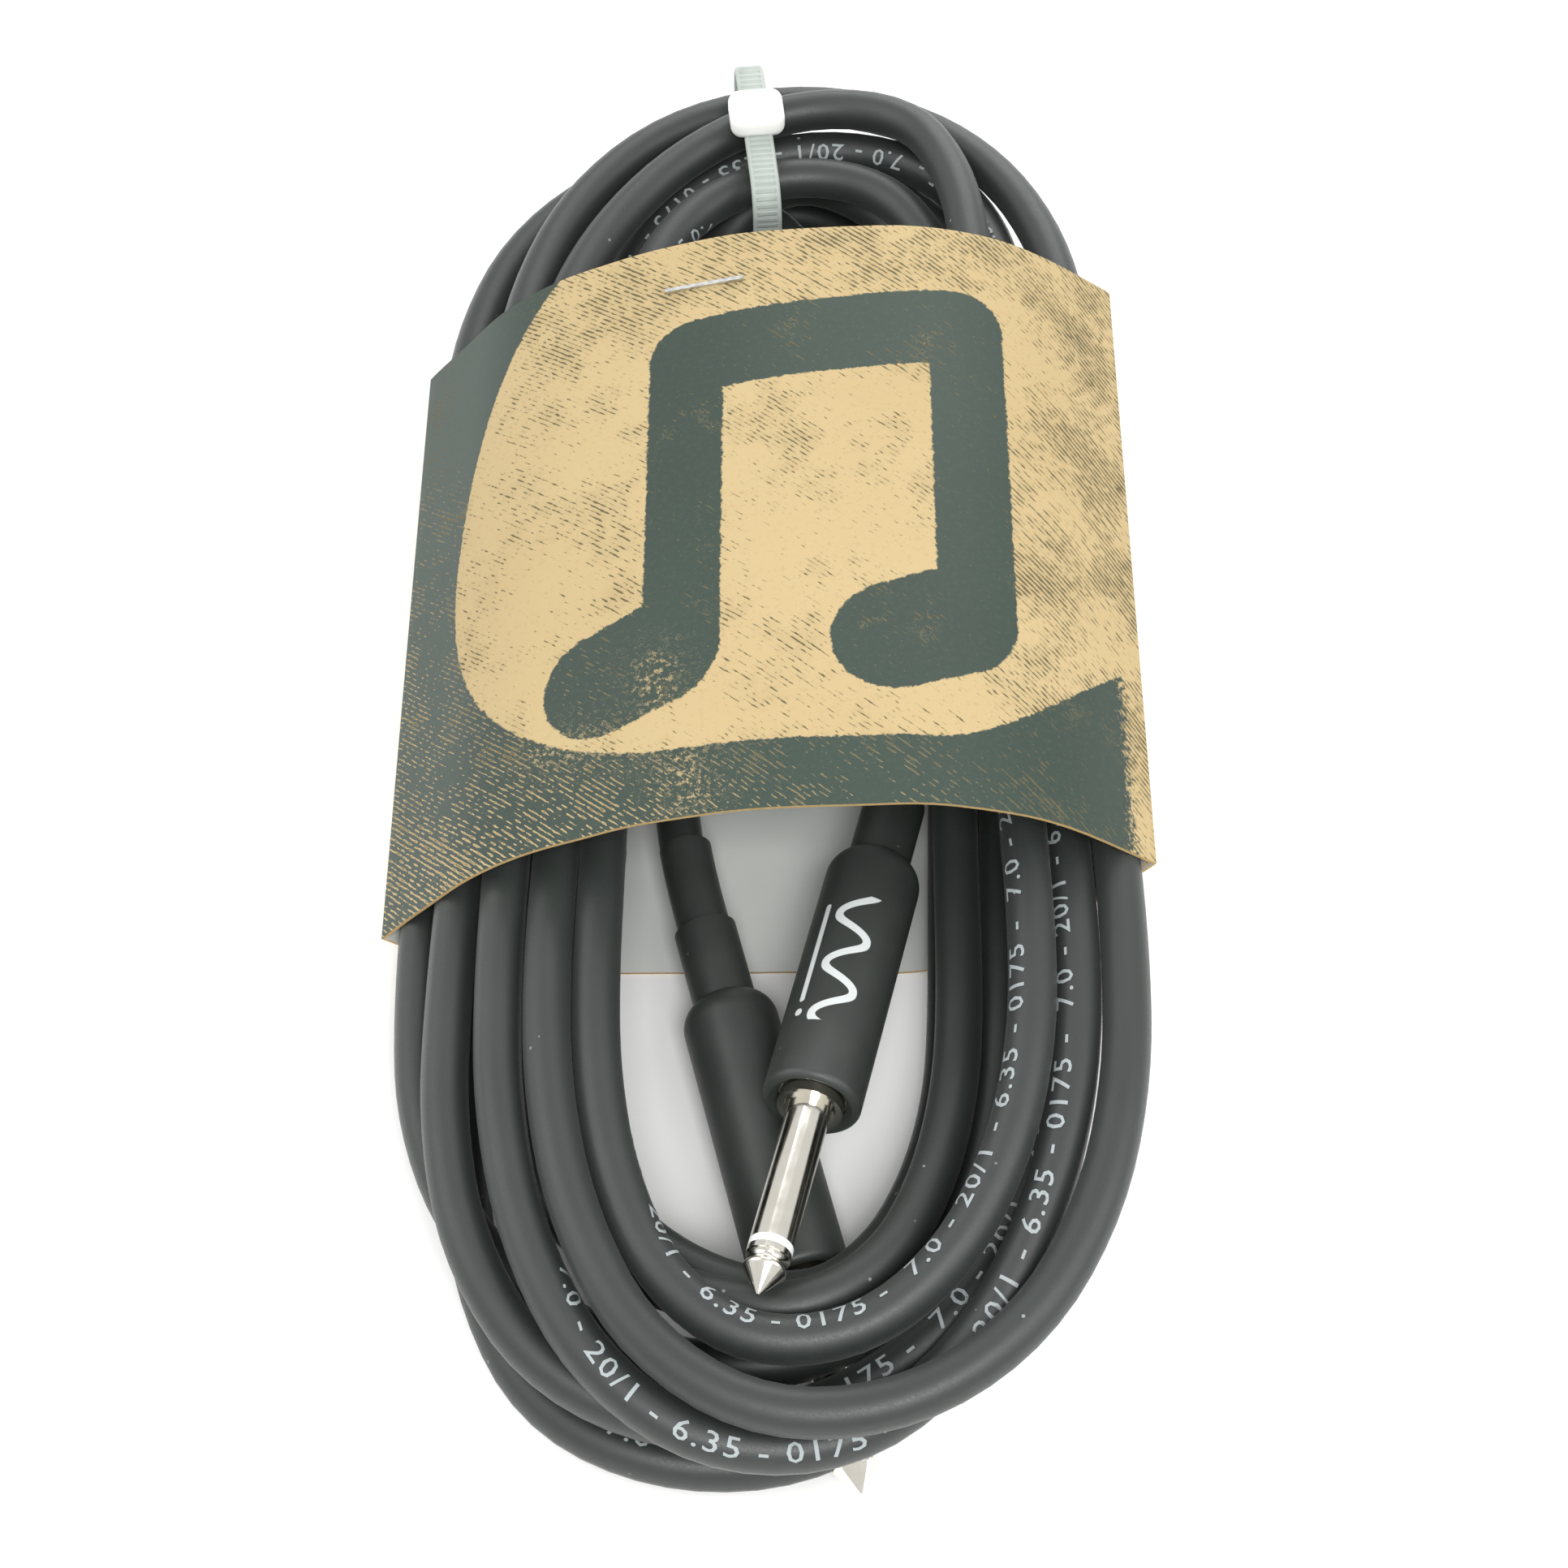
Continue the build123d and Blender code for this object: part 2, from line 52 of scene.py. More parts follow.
# ---- shared facts, in millimetres, as in the part's own source --------------------------------
PLUG_COLLARS = {"a": (7.0, -78.7, 22.8), "b": (6.2, -99.1, 8.2)}
PLUG_YAW = {"a": -13.2, "b": 14.3}
PLUG_PITCH = {"a": 8.5, "b": -0.9}
NECK_END = -60.3            # where the cord leaves a plug's sleeve, along the plug's axis
STRAIGHT_MIDDLE, STRAIGHT_END = -71.0, -79.0
BARREL_FRONT, BARREL_BACK, BARREL_D = -0.8, -47.3, 14.5
NECK_D, SHANK_D, SHANK_LEN = 9.6, 6.35, 31.75
TAIL_POINTS = {
    "a": [(22.5, 34.0, 9.2), (17.0, 67.0, 10.2), (8.0, 98.0, 12.5)],
    "b": [(-15.6, 13.0, 8.6), (-16.2, 46.0, 8.9), (-14.8, 74.0, 10.4), (-11.4, 98.0, 13.0)],
}
CARD_NEAR, CARD_LEN, CARD_T = -43.0, 113.5, 0.5
FOLD_LEFT, FOLD_RIGHT = (-57.8, 10.5), (57.8, 32.0)
ARCH, ARCH_R = [(-40.0, 32.5), (-8.0, 46.6), (36.0, 48.6)], [50.0, 85.0, 48.0]
FOOT, FOOT_R = [(34.4, 0.25), (-44.0, 0.25)], [32.0, 38.0]
FLAP_W = 13.0
TIE_X, TIE_MIDDLE_Y, TIE_TURN = -1.4, 113.0, 6.0
TIE_SPAN_Y, TIE_SPAN_Z, TIE_CORNER = (94.0, 130.8), (0.3, 30.6), 6.0
TIE_W, TIE_T = 5.0, 1.3
HEAD_SIZE, HEAD_Y, HEAD_Z = (9.6, 8.4, 5.6), 113.5, 32.1

# ---- the coil: each turn's leg, near bow, leg and far bow --------------------------------------
# A leg is (x, z) at each end, a bow's crest is (x, y, z), and fullness is how square its corners are.
LEG_NEAR_Y, LEG_FAR_Y = -58.0, 58.0
LEG_POINTS, NEAR_POINTS, FAR_POINTS = 6, 8, 7
TURNS = [
    dict(left_far=(-37.0, 8.0), left_near=(-38.5, 8.0), near=(7.0, -107.0, 15.0), near_full=(2.1, 1.9),
         right_near=(32.5, 12.5), right_far=(33.0, 17.0), far=(10.0, 105.0, 12.0), far_full=(2.1, 2.3)),
    dict(left_far=(-30.0, 8.0), left_near=(-31.5, 8.0), near=(6.0, -101.5, 9.0), near_full=(2.1, 1.7),
         right_near=(27.2, 7.0), right_far=(30.5, 9.0), far=(4.0, 114.0, 6.5), far_full=(2.2, 2.2)),
    dict(left_far=(-46.5, 15.0), left_near=(-48.6, 5.5), near=(-7.0, -125.9, 4.5), near_full=(2.75, 2.1),
         right_near=(41.0, 20.5), right_far=(36.5, 22.0), far=(14.0, 109.5, 19.5), far_full=(1.75, 2.6)),
    dict(left_far=(-23.0, 21.0), left_near=(-24.0, 25.0), near=(4.5, -114.5, 21.5), near_full=(2.25, 2.15),
         right_near=(40.0, 31.5), right_far=(37.0, 33.0), far=(12.0, 123.0, 27.5), far_full=(3.2, 1.75)),
    dict(left_far=(-37.0, 24.5), left_near=(-38.9, 21.0), near=(3.0, -127.0, 12.0), near_full=(2.35, 2.0),
         right_near=(45.7, 26.0), right_far=(43.9, 29.0), far=(14.0, 118.5, 22.0), far_full=(2.6, 2.3)),
    dict(left_far=(-28.5, 16.5), left_near=(-31.0, 25.5), near=(6.0, -124.7, 19.5), near_full=(2.25, 2.35),
         right_near=(52.5, 28.0), right_far=(49.5, 30.5), far=(3.0, 126.0, 20.5), far_full=(1.85, 2.2)),
    dict(left_far=(-43.5, 20.0), left_near=(-45.4, 14.5), near=(-2.0, -122.5, 8.0), near_full=(2.5, 2.0),
         right_near=(46.5, 19.5), right_far=(44.0, 21.5), far=(-2.0, 124.0, 12.0), far_full=(1.8, 2.5)),
    dict(left_far=(-53.2, 11.0), left_near=(-52.3, 10.0), near=(0.0, -117.0, 8.0), near_full=(2.3, 2.0),
         right_near=(37.5, 15.0), right_far=(38.5, 15.0), far=None, far_full=None),
]
LEAD_IN = [(-4.0, 112.0, 12.0), (-20.0, 109.0, 9.5), (-32.0, 92.0, 8.5)]
LEAD_OUT = [(34.0, 84.0, 15.0), (22.0, 106.0, 15.5), (4.0, 113.0, 17.0)]

# how far the jacket's marking has rolled from facing up, in degrees, at millimetres along the cord
MARK_ROLL = [(0, 175), (500, 175), (530, 40), (610, 25), (680, 175), (1348, 175), (1372, 62),
             (1400, 55), (1440, 120), (1500, 175), (1680, 175), (1705, 40), (1780, 20), (1850, 170),
             (1880, 130), (1902, 62), (1975, 48), (2010, 35), (2060, 150), (2400, 170), (2428, 120),
             (2450, 20), (2500, -10), (2540, 30), (2620, 40), (2680, 12), (2840, 15), (2900, 170),
             (3590, 175), (3625, 20), (3690, 35), (3740, 45), (3830, 175), (4640, 175)]

# ---- how the turns settle: gaps in millimetres, and the share of a reach taken up in one round -----
STRAND_PUSH, WALL_PUSH, ROUND_GAIN = 0.25, 0.8, 1.6
EVENING = 0.4               # how far a point's move is evened with its neighbours' moves
FLOOR_GAP, SKIN_GAP, TIE_GAP = 0.8, 0.1, 1.4
TIE_REACH, TIE_FROM_Y = 5, 90
ROD_INSET = 7.2             # from a barrel's ends to the ends of its rounded rod
NEIGHBOURS = 6              # samples this close along the cord don't push each other

# ---- printed marks and meshes ------------------------------------------------------------------
MARK_FACING = (-0.12, -0.42, 0.90)      # the way the barrel's mark faces
LEGEND_FACING = (-0.10, -0.55, 0.83)    # the way the jacket's legend faces at no roll
LEGEND, LEGEND_SLICES, LEGEND_START, INK_LIFT = "7.0 - 20/1 - 6.35 - 0175 -  ", 6, 30.0, 0.04
WAVE_PITCH, WAVE_HEIGHT, WAVE_STEEPNESS, WAVE_HALF_LINE = 9.6, 2.6, 2.9, 0.62
WAVE_MIDDLE, WAVE_HALF_RUN, RULE_OFFSET = -23.0, 12.2, -4.9
EMBLEM = [((58.0, 30.0), (58.0, 88.0), 6.2), ((103.0, 33.0), (103.0, 90.0), 6.2),
          ((59.5, 88.0), (101.5, 92.0), 7.8), ((45.5, 27.0), (54.0, 30.0), 9.8),
          ((90.5, 30.0), (99.0, 33.0), 9.8)]
GRAIN_PITCH = 0.78          # between the rows of dashes in the ink
CARD_STEP, CARD_ROWS, CHIP_AT, FLAP_INSET = 1.2, 60, 34.0, 0.6
PRINTED, COATED, RAW = 0, 1, 2          # the card's material slots
TIE_EASE, HEAD_EASE, TOOTH_PITCH, SEAM_RUN = 0.35, 2.1, 1.25, 20.0


# ---- small helpers -----------------------------------------------------------------------------
def linear(hex_colour):
    """An sRGB hex colour as linear RGBA."""
    parts = [int(hex_colour[k:k + 2], 16) / 255 for k in (1, 3, 5)]
    return tuple(v / 12.92 if v <= 0.04045 else ((v + 0.055) / 1.055) ** 2.4 for v in parts) + (1.0,)


def plug_axis(key):
    yaw, pitch = math.radians(PLUG_YAW[key]), math.radians(PLUG_PITCH[key])
    return np.array([math.sin(yaw) * math.cos(pitch), -math.cos(yaw) * math.cos(pitch), math.sin(pitch)])


def on_plug(key, station):
    return np.array(PLUG_COLLARS[key]) + plug_axis(key) * station


class Value:
    """A node's output that adds, subtracts, multiplies and divides as a number does."""

    def __init__(self, tree, socket):
        self.tree = tree
        self.socket = socket

    def __add__(self, other):
        return maths(self.tree, "ADD", self, other)

    def __sub__(self, other):
        return maths(self.tree, "SUBTRACT", self, other)

    def __mul__(self, other):
        return maths(self.tree, "MULTIPLY", self, other)

    def __truediv__(self, other):
        return maths(self.tree, "DIVIDE", self, other)

    def __abs__(self):
        return maths(self.tree, "ABSOLUTE", self)

    def least(self, other):
        return maths(self.tree, "MINIMUM", self, other)

    def most(self, other):
        return maths(self.tree, "MAXIMUM", self, other)

    def remap(self, low, high, to_low=0.0, to_high=1.0):
        return take(self.tree, "ShaderNodeMapRange", {0: self, 1: low, 2: high, 3: to_low, 4: to_high})

    def vector(self, operation, *others):
        return vector_maths(self.tree, operation, self, *others)

    def split(self):
        """The first two parts of a vector."""
        outputs = add(self.tree, "ShaderNodeSeparateXYZ", {0: self}).outputs
        return Value(self.tree, outputs[0]), Value(self.tree, outputs[1])


def fill(tree, socket, value):
    """Links a node's output to an input, or sets the input itself."""
    if isinstance(value, Value):
        tree.links.new(value.socket, socket)
    else:
        socket.default_value = value


def add(tree, kind, inputs=None, **settings):
    """Adds one node, sets its settings, and fills its inputs by name or place."""
    node = tree.nodes.new(kind)
    for name, value in settings.items():
        setattr(node, name, value)
    for key, value in (inputs or {}).items():
        fill(tree, node.inputs[key], value)
    return node


def take(tree, kind, inputs=None, output=0, **settings):
    """Adds one node and gives one of its outputs."""
    return Value(tree, add(tree, kind, inputs, **settings).outputs[output])


def maths(tree, operation, *fills, clamp=False):
    return take(tree, "ShaderNodeMath", dict(enumerate(fills)), operation=operation, use_clamp=clamp)


def vector_maths(tree, operation, *fills):
    output = "Value" if operation in ("LENGTH", "DOT_PRODUCT") else 0
    return take(tree, "ShaderNodeVectorMath", dict(enumerate(fills)), output, operation=operation)


def scaled(tree, vector, amount):
    return take(tree, "ShaderNodeVectorMath", {0: vector, "Scale": amount}, operation="SCALE")


def flat_point(tree, x, y=0.0):
    return take(tree, "ShaderNodeCombineXYZ", {0: x, 1: y})


def blend(amount, low, high):
    """A colour between two, each given as a node's output or as sRGB hex text."""
    low, high = (linear(colour) if isinstance(colour, str) else colour for colour in (low, high))
    return take(amount.tree, "ShaderNodeMix", {0: amount, 6: low, 7: high}, 2, data_type="RGBA")


def noise(place, per_mm, detail=2.0, roughness=0.5, distortion=0.0, per_unit=1000.0, output=0):
    """Noise whose features are 1 / per_mm millimetres across, in places that count per_unit of them."""
    return take(place.tree, "ShaderNodeTexNoise",
                {"Vector": place, "Scale": per_mm * per_unit, "Detail": detail, "Roughness": roughness,
                 "Distortion": distortion}, output)


def cells(place, scale):
    """Distance to the nearest of scattered points, scale of them to a metre."""
    return take(place.tree, "ShaderNodeTexVoronoi", {"Vector": place, "Scale": scale}, "Distance")


class Finish:
    """A new material with an empty tree, its shader and its Object coordinates."""

    def __init__(self, name):
        self.material = bpy.data.materials.new(name)
        self.material.use_nodes = True
        self.tree = self.material.node_tree
        self.tree.nodes.clear()
        self.shader = self.tree.nodes.new("ShaderNodeBsdfPrincipled")
        out = self.tree.nodes.new("ShaderNodeOutputMaterial")
        self.tree.links.new(self.shader.outputs[0], out.inputs[0])
        self.place = take(self.tree, "ShaderNodeTexCoord", output="Object")

    def coat(self, inputs, bump=None):
        """Fills the shader's inputs and its bump (height, strength, millimetres), and gives the material."""
        if bump:
            height, strength, depth = bump
            inputs["Normal"] = take(self.tree, "ShaderNodeBump",
                                    {"Strength": strength, "Distance": depth * MM, "Height": height})
        for name, value in inputs.items():
            fill(self.tree, self.shader.inputs[name], value)
        return self.material


def put(name, data):
    """A new object with that data, in the scene."""
    piece = bpy.data.objects.new(name, data)
    bpy.context.collection.objects.link(piece)
    return piece


def mesh_piece(name, vertices, faces, smooth=True):
    mesh = bpy.data.meshes.new(name)
    mesh.from_pydata([tuple(v) for v in vertices], [], faces)
    mesh.validate()
    mesh.update()
    piece = put(name, mesh)
    if smooth:
        mesh.polygons.foreach_set("use_smooth", [True] * len(mesh.polygons))
    return piece


def evaluated(source):
    """The evaluated shape of an object as a mesh; the source goes."""
    graph = bpy.context.evaluated_depsgraph_get()
    graph.update()
    mesh = bpy.data.meshes.new_from_object(source.evaluated_get(graph))
    bpy.data.objects.remove(source)
    return mesh


def plain_mesh(source, name):
    """The same as a plain mesh object."""
    mesh = evaluated(source)
    mesh.name = name
    return put(name, mesh)


def runs(line):
    """How far along a line each of its points is."""
    return np.r_[0, np.cumsum(np.linalg.norm(np.diff(line, axis=0), axis=1))]


def face_outwards(mesh):
    work = bmesh.new()
    work.from_mesh(mesh)
    bmesh.ops.recalc_face_normals(work, faces=work.faces)
    work.to_mesh(mesh)
    work.free()


def lay_flat(mesh, name, places, closing):
    """UVs from each vertex's place on the flat strip; a face over the seam reads on past its end."""
    layer = mesh.uv_layers.new(name=name)
    for face in mesh.polygons:
        us = [places[mesh.loops[k].vertex_index][0] for k in face.loop_indices]
        over_seam = max(us) - min(us) > closing / 2
        for k in face.loop_indices:
            u, v = places[mesh.loops[k].vertex_index]
            layer.data[k].uv = (u + closing if over_seam and u < closing / 2 else u, v)


def give(node_name, material):
    """Puts a finish on a carried-over CAD node."""
    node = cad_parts[node_name]
    node.data.materials.clear()
    node.data.materials.append(material)


# ---- finishes ------------------------------------------------------------------------------------
def jacket_pvc(settings):
    """Matt extruded PVC: soft wide highlight, fine extrusion grain, a little dust."""
    skin = Finish("extruded_matt_pvc_jacket")
    grain = noise(skin.place, 3.0, 3.0, 0.65)
    tone = blend(noise(skin.place, 0.05, 3.0), settings.jacket_dark, settings.jacket_light)
    dust = cells(skin.place, 190.0).remap(0.06, 0.04) * noise(skin.place, 0.12, 1.0).remap(0.56, 0.62)
    tone = blend(dust * 0.55, tone, "#a9aca6")
    return skin.coat({"Base Color": tone, "Roughness": grain.remap(0.3, 0.7, 0.42, 0.56),
                      "Specular IOR Level": 0.58, "Sheen Weight": 0.06, "Sheen Roughness": 0.5},
                     (grain, 0.25, 0.05))


def shrink_sleeve(settings, marked=None):
    """Matt heat-shrink tube, nearly black and softly uneven, with the mark on the plug that is named."""
    tube = Finish("matt_heat_shrink_sleeve_printed" if marked else "matt_heat_shrink_sleeve")
    swell = noise(tube.place, 0.18, 2.0)
    grain = noise(tube.place, 4.0, 3.0, 0.7)
    tone = blend(swell, settings.barrel_dark, settings.barrel_light)
    tone = blend(cells(tube.place, 210.0).remap(0.05, 0.035, 0.0, 0.4), tone, "#8f918c")
    if marked:
        tone = blend(barrel_mark(tube.place, marked), tone, "#c9cecd")
    return tube.coat({"Base Color": tone, "Roughness": grain.remap(0.3, 0.7, 0.40, 0.54)},
                     (swell * 2.0 + grain * 0.35, 0.35, 0.12))


def barrel_mark(place, key):
    """How much white ink lies at a place on a plug's barrel: a wave, a rule and a dot."""
    tree = place.tree
    axis = Vector(plug_axis(key))
    up = (Vector(MARK_FACING) - axis * axis.dot(Vector(MARK_FACING))).normalized()
    side = up.cross(axis)
    off = place.vector("SUBTRACT", tuple(v * MM for v in PLUG_COLLARS[key]))
    along = off.vector("DOT_PRODUCT", tuple(axis)) * 1000.0
    sideways, upwards = (off.vector("DOT_PRODUCT", tuple(way)) for way in (side, up))
    turn = maths(tree, "ARCTAN2", sideways, upwards)
    across = turn * (BARREL_D / 2)
    phase = along * (2 * math.pi / WAVE_PITCH)
    slope = maths(tree, "COSINE", phase)
    steep = maths(tree, "SQRT", slope * slope * WAVE_STEEPNESS + 1.0)
    ribbon = abs(across - maths(tree, "SINE", phase) * WAVE_HEIGHT) / steep - WAVE_HALF_LINE
    ribbon = ribbon.most(abs(along - WAVE_MIDDLE) - WAVE_HALF_RUN)
    flat = flat_point(tree, along, across)
    rule = capsule(flat, (-33.0, RULE_OFFSET), (-15.0, RULE_OFFSET), 0.45)
    dot = capsule(flat, (-12.6, RULE_OFFSET), (-12.5, RULE_OFFSET), 0.6)
    worn = noise(place, 1.4, 3.0, 0.7).remap(0.66, 0.72, 1.0, 0.55)
    return ribbon.least(rule.least(dot)).remap(0.05, -0.05) * worn


def nickel_plate(name, colour, rough):
    """Polished nickel on turned brass: sharp reflections with faint lathe rings and haze."""
    plate = Finish(name)
    haze = noise(plate.place, 0.35, 3.0)
    return plate.coat({"Base Color": blend(haze, colour, "#f4f1e8"), "Metallic": 1.0,
                       "Roughness": haze.remap(0.3, 0.7, rough, rough + 0.08)},
                      (noise(plate.place, 6.0, 2.0, 0.6), 0.12, 0.02))


def milky(weight, reach):
    """Shader inputs of a plastic that light enters for so many metres."""
    return {"Subsurface Weight": weight, "Subsurface Radius": (1.0, 1.0, 0.9), "Subsurface Scale": reach}


def moulded(name, colour, other, rough, see_through=0.0):
    """A moulded plastic with slight cloudiness and a fine satin skin."""
    body = Finish(name)
    skin = noise(body.place, 5.0, 2.0)
    inputs = {"Base Color": blend(noise(body.place, 0.3, 2.0), colour, other),
              "Roughness": skin.remap(0.3, 0.7, rough - 0.05, rough + 0.07)}
    if see_through:
        inputs.update(milky(see_through, 0.0015))
    return body.coat(inputs, (skin, 0.2, 0.02))


def bare_metal(name, colour, other, rough):
    """Tinned, galvanised or soldered metal: dull bright skin with crystals and wipe marks."""
    skin = Finish(name)
    flakes = cells(skin.place, 900.0)
    return skin.coat({"Base Color": blend(flakes, colour, other), "Metallic": 1.0,
                      "Roughness": flakes.remap(0.0, 0.8, rough, rough + 0.15)}, (flakes, 0.15, 0.03))


def screen_ink():
    """Opaque white marking ink, worn through in pinholes."""
    ink = Finish("white_marking_ink")
    wear = noise(ink.place, 1.6, 3.0, 0.7)
    return ink.coat({"Base Color": blend(wear.remap(0.62, 0.74), "#969d9e", "#5c605e"), "Roughness": 0.55},
                    (wear, 0.15, 0.02))


def strap_nylon():
    """Thin natural nylon, half see-through, with the ladder of teeth down its middle, the grooves between
    teeth darkened as painted shade.
    """
    strap = Finish("natural_nylon_strap")
    along, across = take(strap.tree, "ShaderNodeUVMap", uv_map="strap").split()
    rungs = maths(strap.tree, "SINE", along * (2 * math.pi / (TOOTH_PITCH * MM))).remap(-0.5, 0.3)
    teeth_relief_and_shade = rungs * abs(across).remap(0.0019, 0.0016)
    tone = blend(noise(strap.place, 0.4, 2.0), "#c9d0ca", "#bcc5be")
    # painted shade: the grooves between the teeth are darkened
    tone = blend(teeth_relief_and_shade * 0.35, tone, "#8f9a95")
    return strap.coat({"Base Color": tone, "Roughness": 0.42, "Transmission Weight": 0.35, "IOR": 1.45,
                       **milky(0.2, 0.001)}, (teeth_relief_and_shade, 0.6, 0.15))


# ---- cord --------------------------------------------------------------------------------------
def quarter_bow(leg_end, crest, fullness):
    """From a leg's end round to the bow's crest, as a quarter of a rounded oval."""
    turn = np.linspace(0.0, math.pi / 2, 160)
    across = np.cos(turn) ** (2 / fullness)
    along = np.sin(turn) ** (2 / fullness)
    rise = (1 - np.cos(2 * turn)) / 2
    return np.c_[crest[0] + (leg_end[0] - crest[0]) * across,
                 leg_end[1] + (crest[1] - leg_end[1]) * along,
                 leg_end[2] + (crest[2] - leg_end[2]) * rise]


def spaced(line, count):
    """That many points, evenly spaced inside a line."""
    run = runs(line)
    stops = np.linspace(0, run[-1], count + 2)[1:-1]
    return np.c_[[np.interp(stops, run, line[:, k]) for k in range(3)]].T


def bow_points(first, crest, second, fullness, count):
    out = quarter_bow(first, crest, fullness[0])
    back = quarter_bow(second, crest, fullness[1])[::-1]
    return spaced(np.r_[out, back], count)


def leg_end(place, y):
    return place[0], y, place[1]


def cord_route():
    """Control points of the whole cord, plug to plug, and which of them are held in place."""
    points, held = [], []

    def extend(items, fixed=False):
        for item in items:
            points.append(np.array(item, float))
            held.append(fixed)

    extend([on_plug("a", NECK_END), on_plug("a", STRAIGHT_MIDDLE), on_plug("a", STRAIGHT_END)], True)
    extend(TAIL_POINTS["a"], True)
    extend(LEAD_IN)
    for number, turn in enumerate(TURNS):
        left_far, right_far = (leg_end(turn[leg], LEG_FAR_Y) for leg in ("left_far", "right_far"))
        left_near, right_near = (leg_end(turn[leg], LEG_NEAR_Y) for leg in ("left_near", "right_near"))
        extend(np.linspace(left_far, left_near, LEG_POINTS))
        extend(bow_points(left_near, turn["near"], right_near, turn["near_full"], NEAR_POINTS))
        extend(np.linspace(right_near, right_far, LEG_POINTS))
        if turn["far"]:
            following = leg_end(TURNS[number + 1]["left_far"], LEG_FAR_Y)
            extend(bow_points(right_far, turn["far"], following, turn["far_full"], FAR_POINTS))
    extend(LEAD_OUT)
    extend(TAIL_POINTS["b"][::-1], True)
    extend([on_plug("b", STRAIGHT_END), on_plug("b", STRAIGHT_MIDDLE), on_plug("b", NECK_END)], True)
    return np.array(points), np.array(held)


def filleted(corners, radii, steps=10):
    """A polyline whose inner corners are rounded by arcs, in two dimensions."""
    line = [np.array(corners[0], float)]
    for before, corner, after, radius in zip(corners, corners[1:], corners[2:], radii):
        before, corner, after = (np.array(p, float) for p in (before, corner, after))
        a, b = (before - corner), (after - corner)
        a, b = a / np.linalg.norm(a), b / np.linalg.norm(b)
        half = math.acos(np.clip(a @ b, -1, 1)) / 2
        reach = radius / math.tan(half)
        middle = corner + (a + b) / np.linalg.norm(a + b) * radius / math.sin(half)
        start, end = corner + a * reach - middle, corner + b * reach - middle
        sweep = math.pi - 2 * half
        for k in range(steps + 1):
            t = k / steps
            arc = (math.sin((1 - t) * sweep) * start + math.sin(t * sweep) * end) / math.sin(sweep)
            line.append(middle + arc)
    line.append(np.array(corners[-1], float))
    return np.array(line)


def card_lines():
    """The sheet's middle line, front panel left to right and back panel right to left."""
    front = filleted([FOLD_LEFT] + ARCH + [FOLD_RIGHT], ARCH_R)
    back = filleted([FOLD_RIGHT] + FOOT + [FOLD_LEFT], FOOT_R)
    return front, back


def spline_weights(count, per_span=3):
    """Rows that turn control points into samples of the clamped quadratic spline."""
    rows = []
    for i in range(count - 2):
        for j in range(per_span):
            t = j / per_span
            row = np.zeros(count)
            start = (1 - t) ** 2
            end = t * t
            row[i] += start * (0.5 if i else 1.0)
            row[i + 1] += start * (0.5 if i else 0.0) + 2 * t * (1 - t)
            last = i == count - 3
            row[i + 1] += 0.0 if last else end * 0.5
            row[i + 2] += end * (1.0 if last else 0.5)
            rows.append(row)
    return np.array(rows)


def plug_rods():
    """The plugs as rods that the cord keeps clear of: two ends and a radius each."""
    rods = []
    for key in PLUG_COLLARS:
        for start, end, radius in ((BARREL_BACK + ROD_INSET, BARREL_FRONT - ROD_INSET, BARREL_D / 2),
                                   (-6.5, -4.5, BARREL_D / 2), (NECK_END, BARREL_BACK, NECK_D / 2),
                                   (0, SHANK_LEN - 1.3, SHANK_D / 2)):
            rods.append((on_plug(key, start), on_plug(key, end), radius))
    return rods


def card_walls():
    """The bent sheet as walls in the X-Z plane: corners, directions, lengths and inward sides."""
    front, back = card_lines()
    ring = np.r_[back[::-1], front[::-1][1:-1]][::-1]
    edge = np.roll(ring, -1, axis=0) - ring
    size = np.linalg.norm(edge, axis=1)
    edge = edge / size[:, None]
    area = np.sum(ring[:, 0] * np.roll(ring[:, 1], -1) - np.roll(ring[:, 0], -1) * ring[:, 1])
    inward = np.c_[-edge[:, 1], edge[:, 0]] * (1 if area > 0 else -1)
    return ring, edge, size, inward


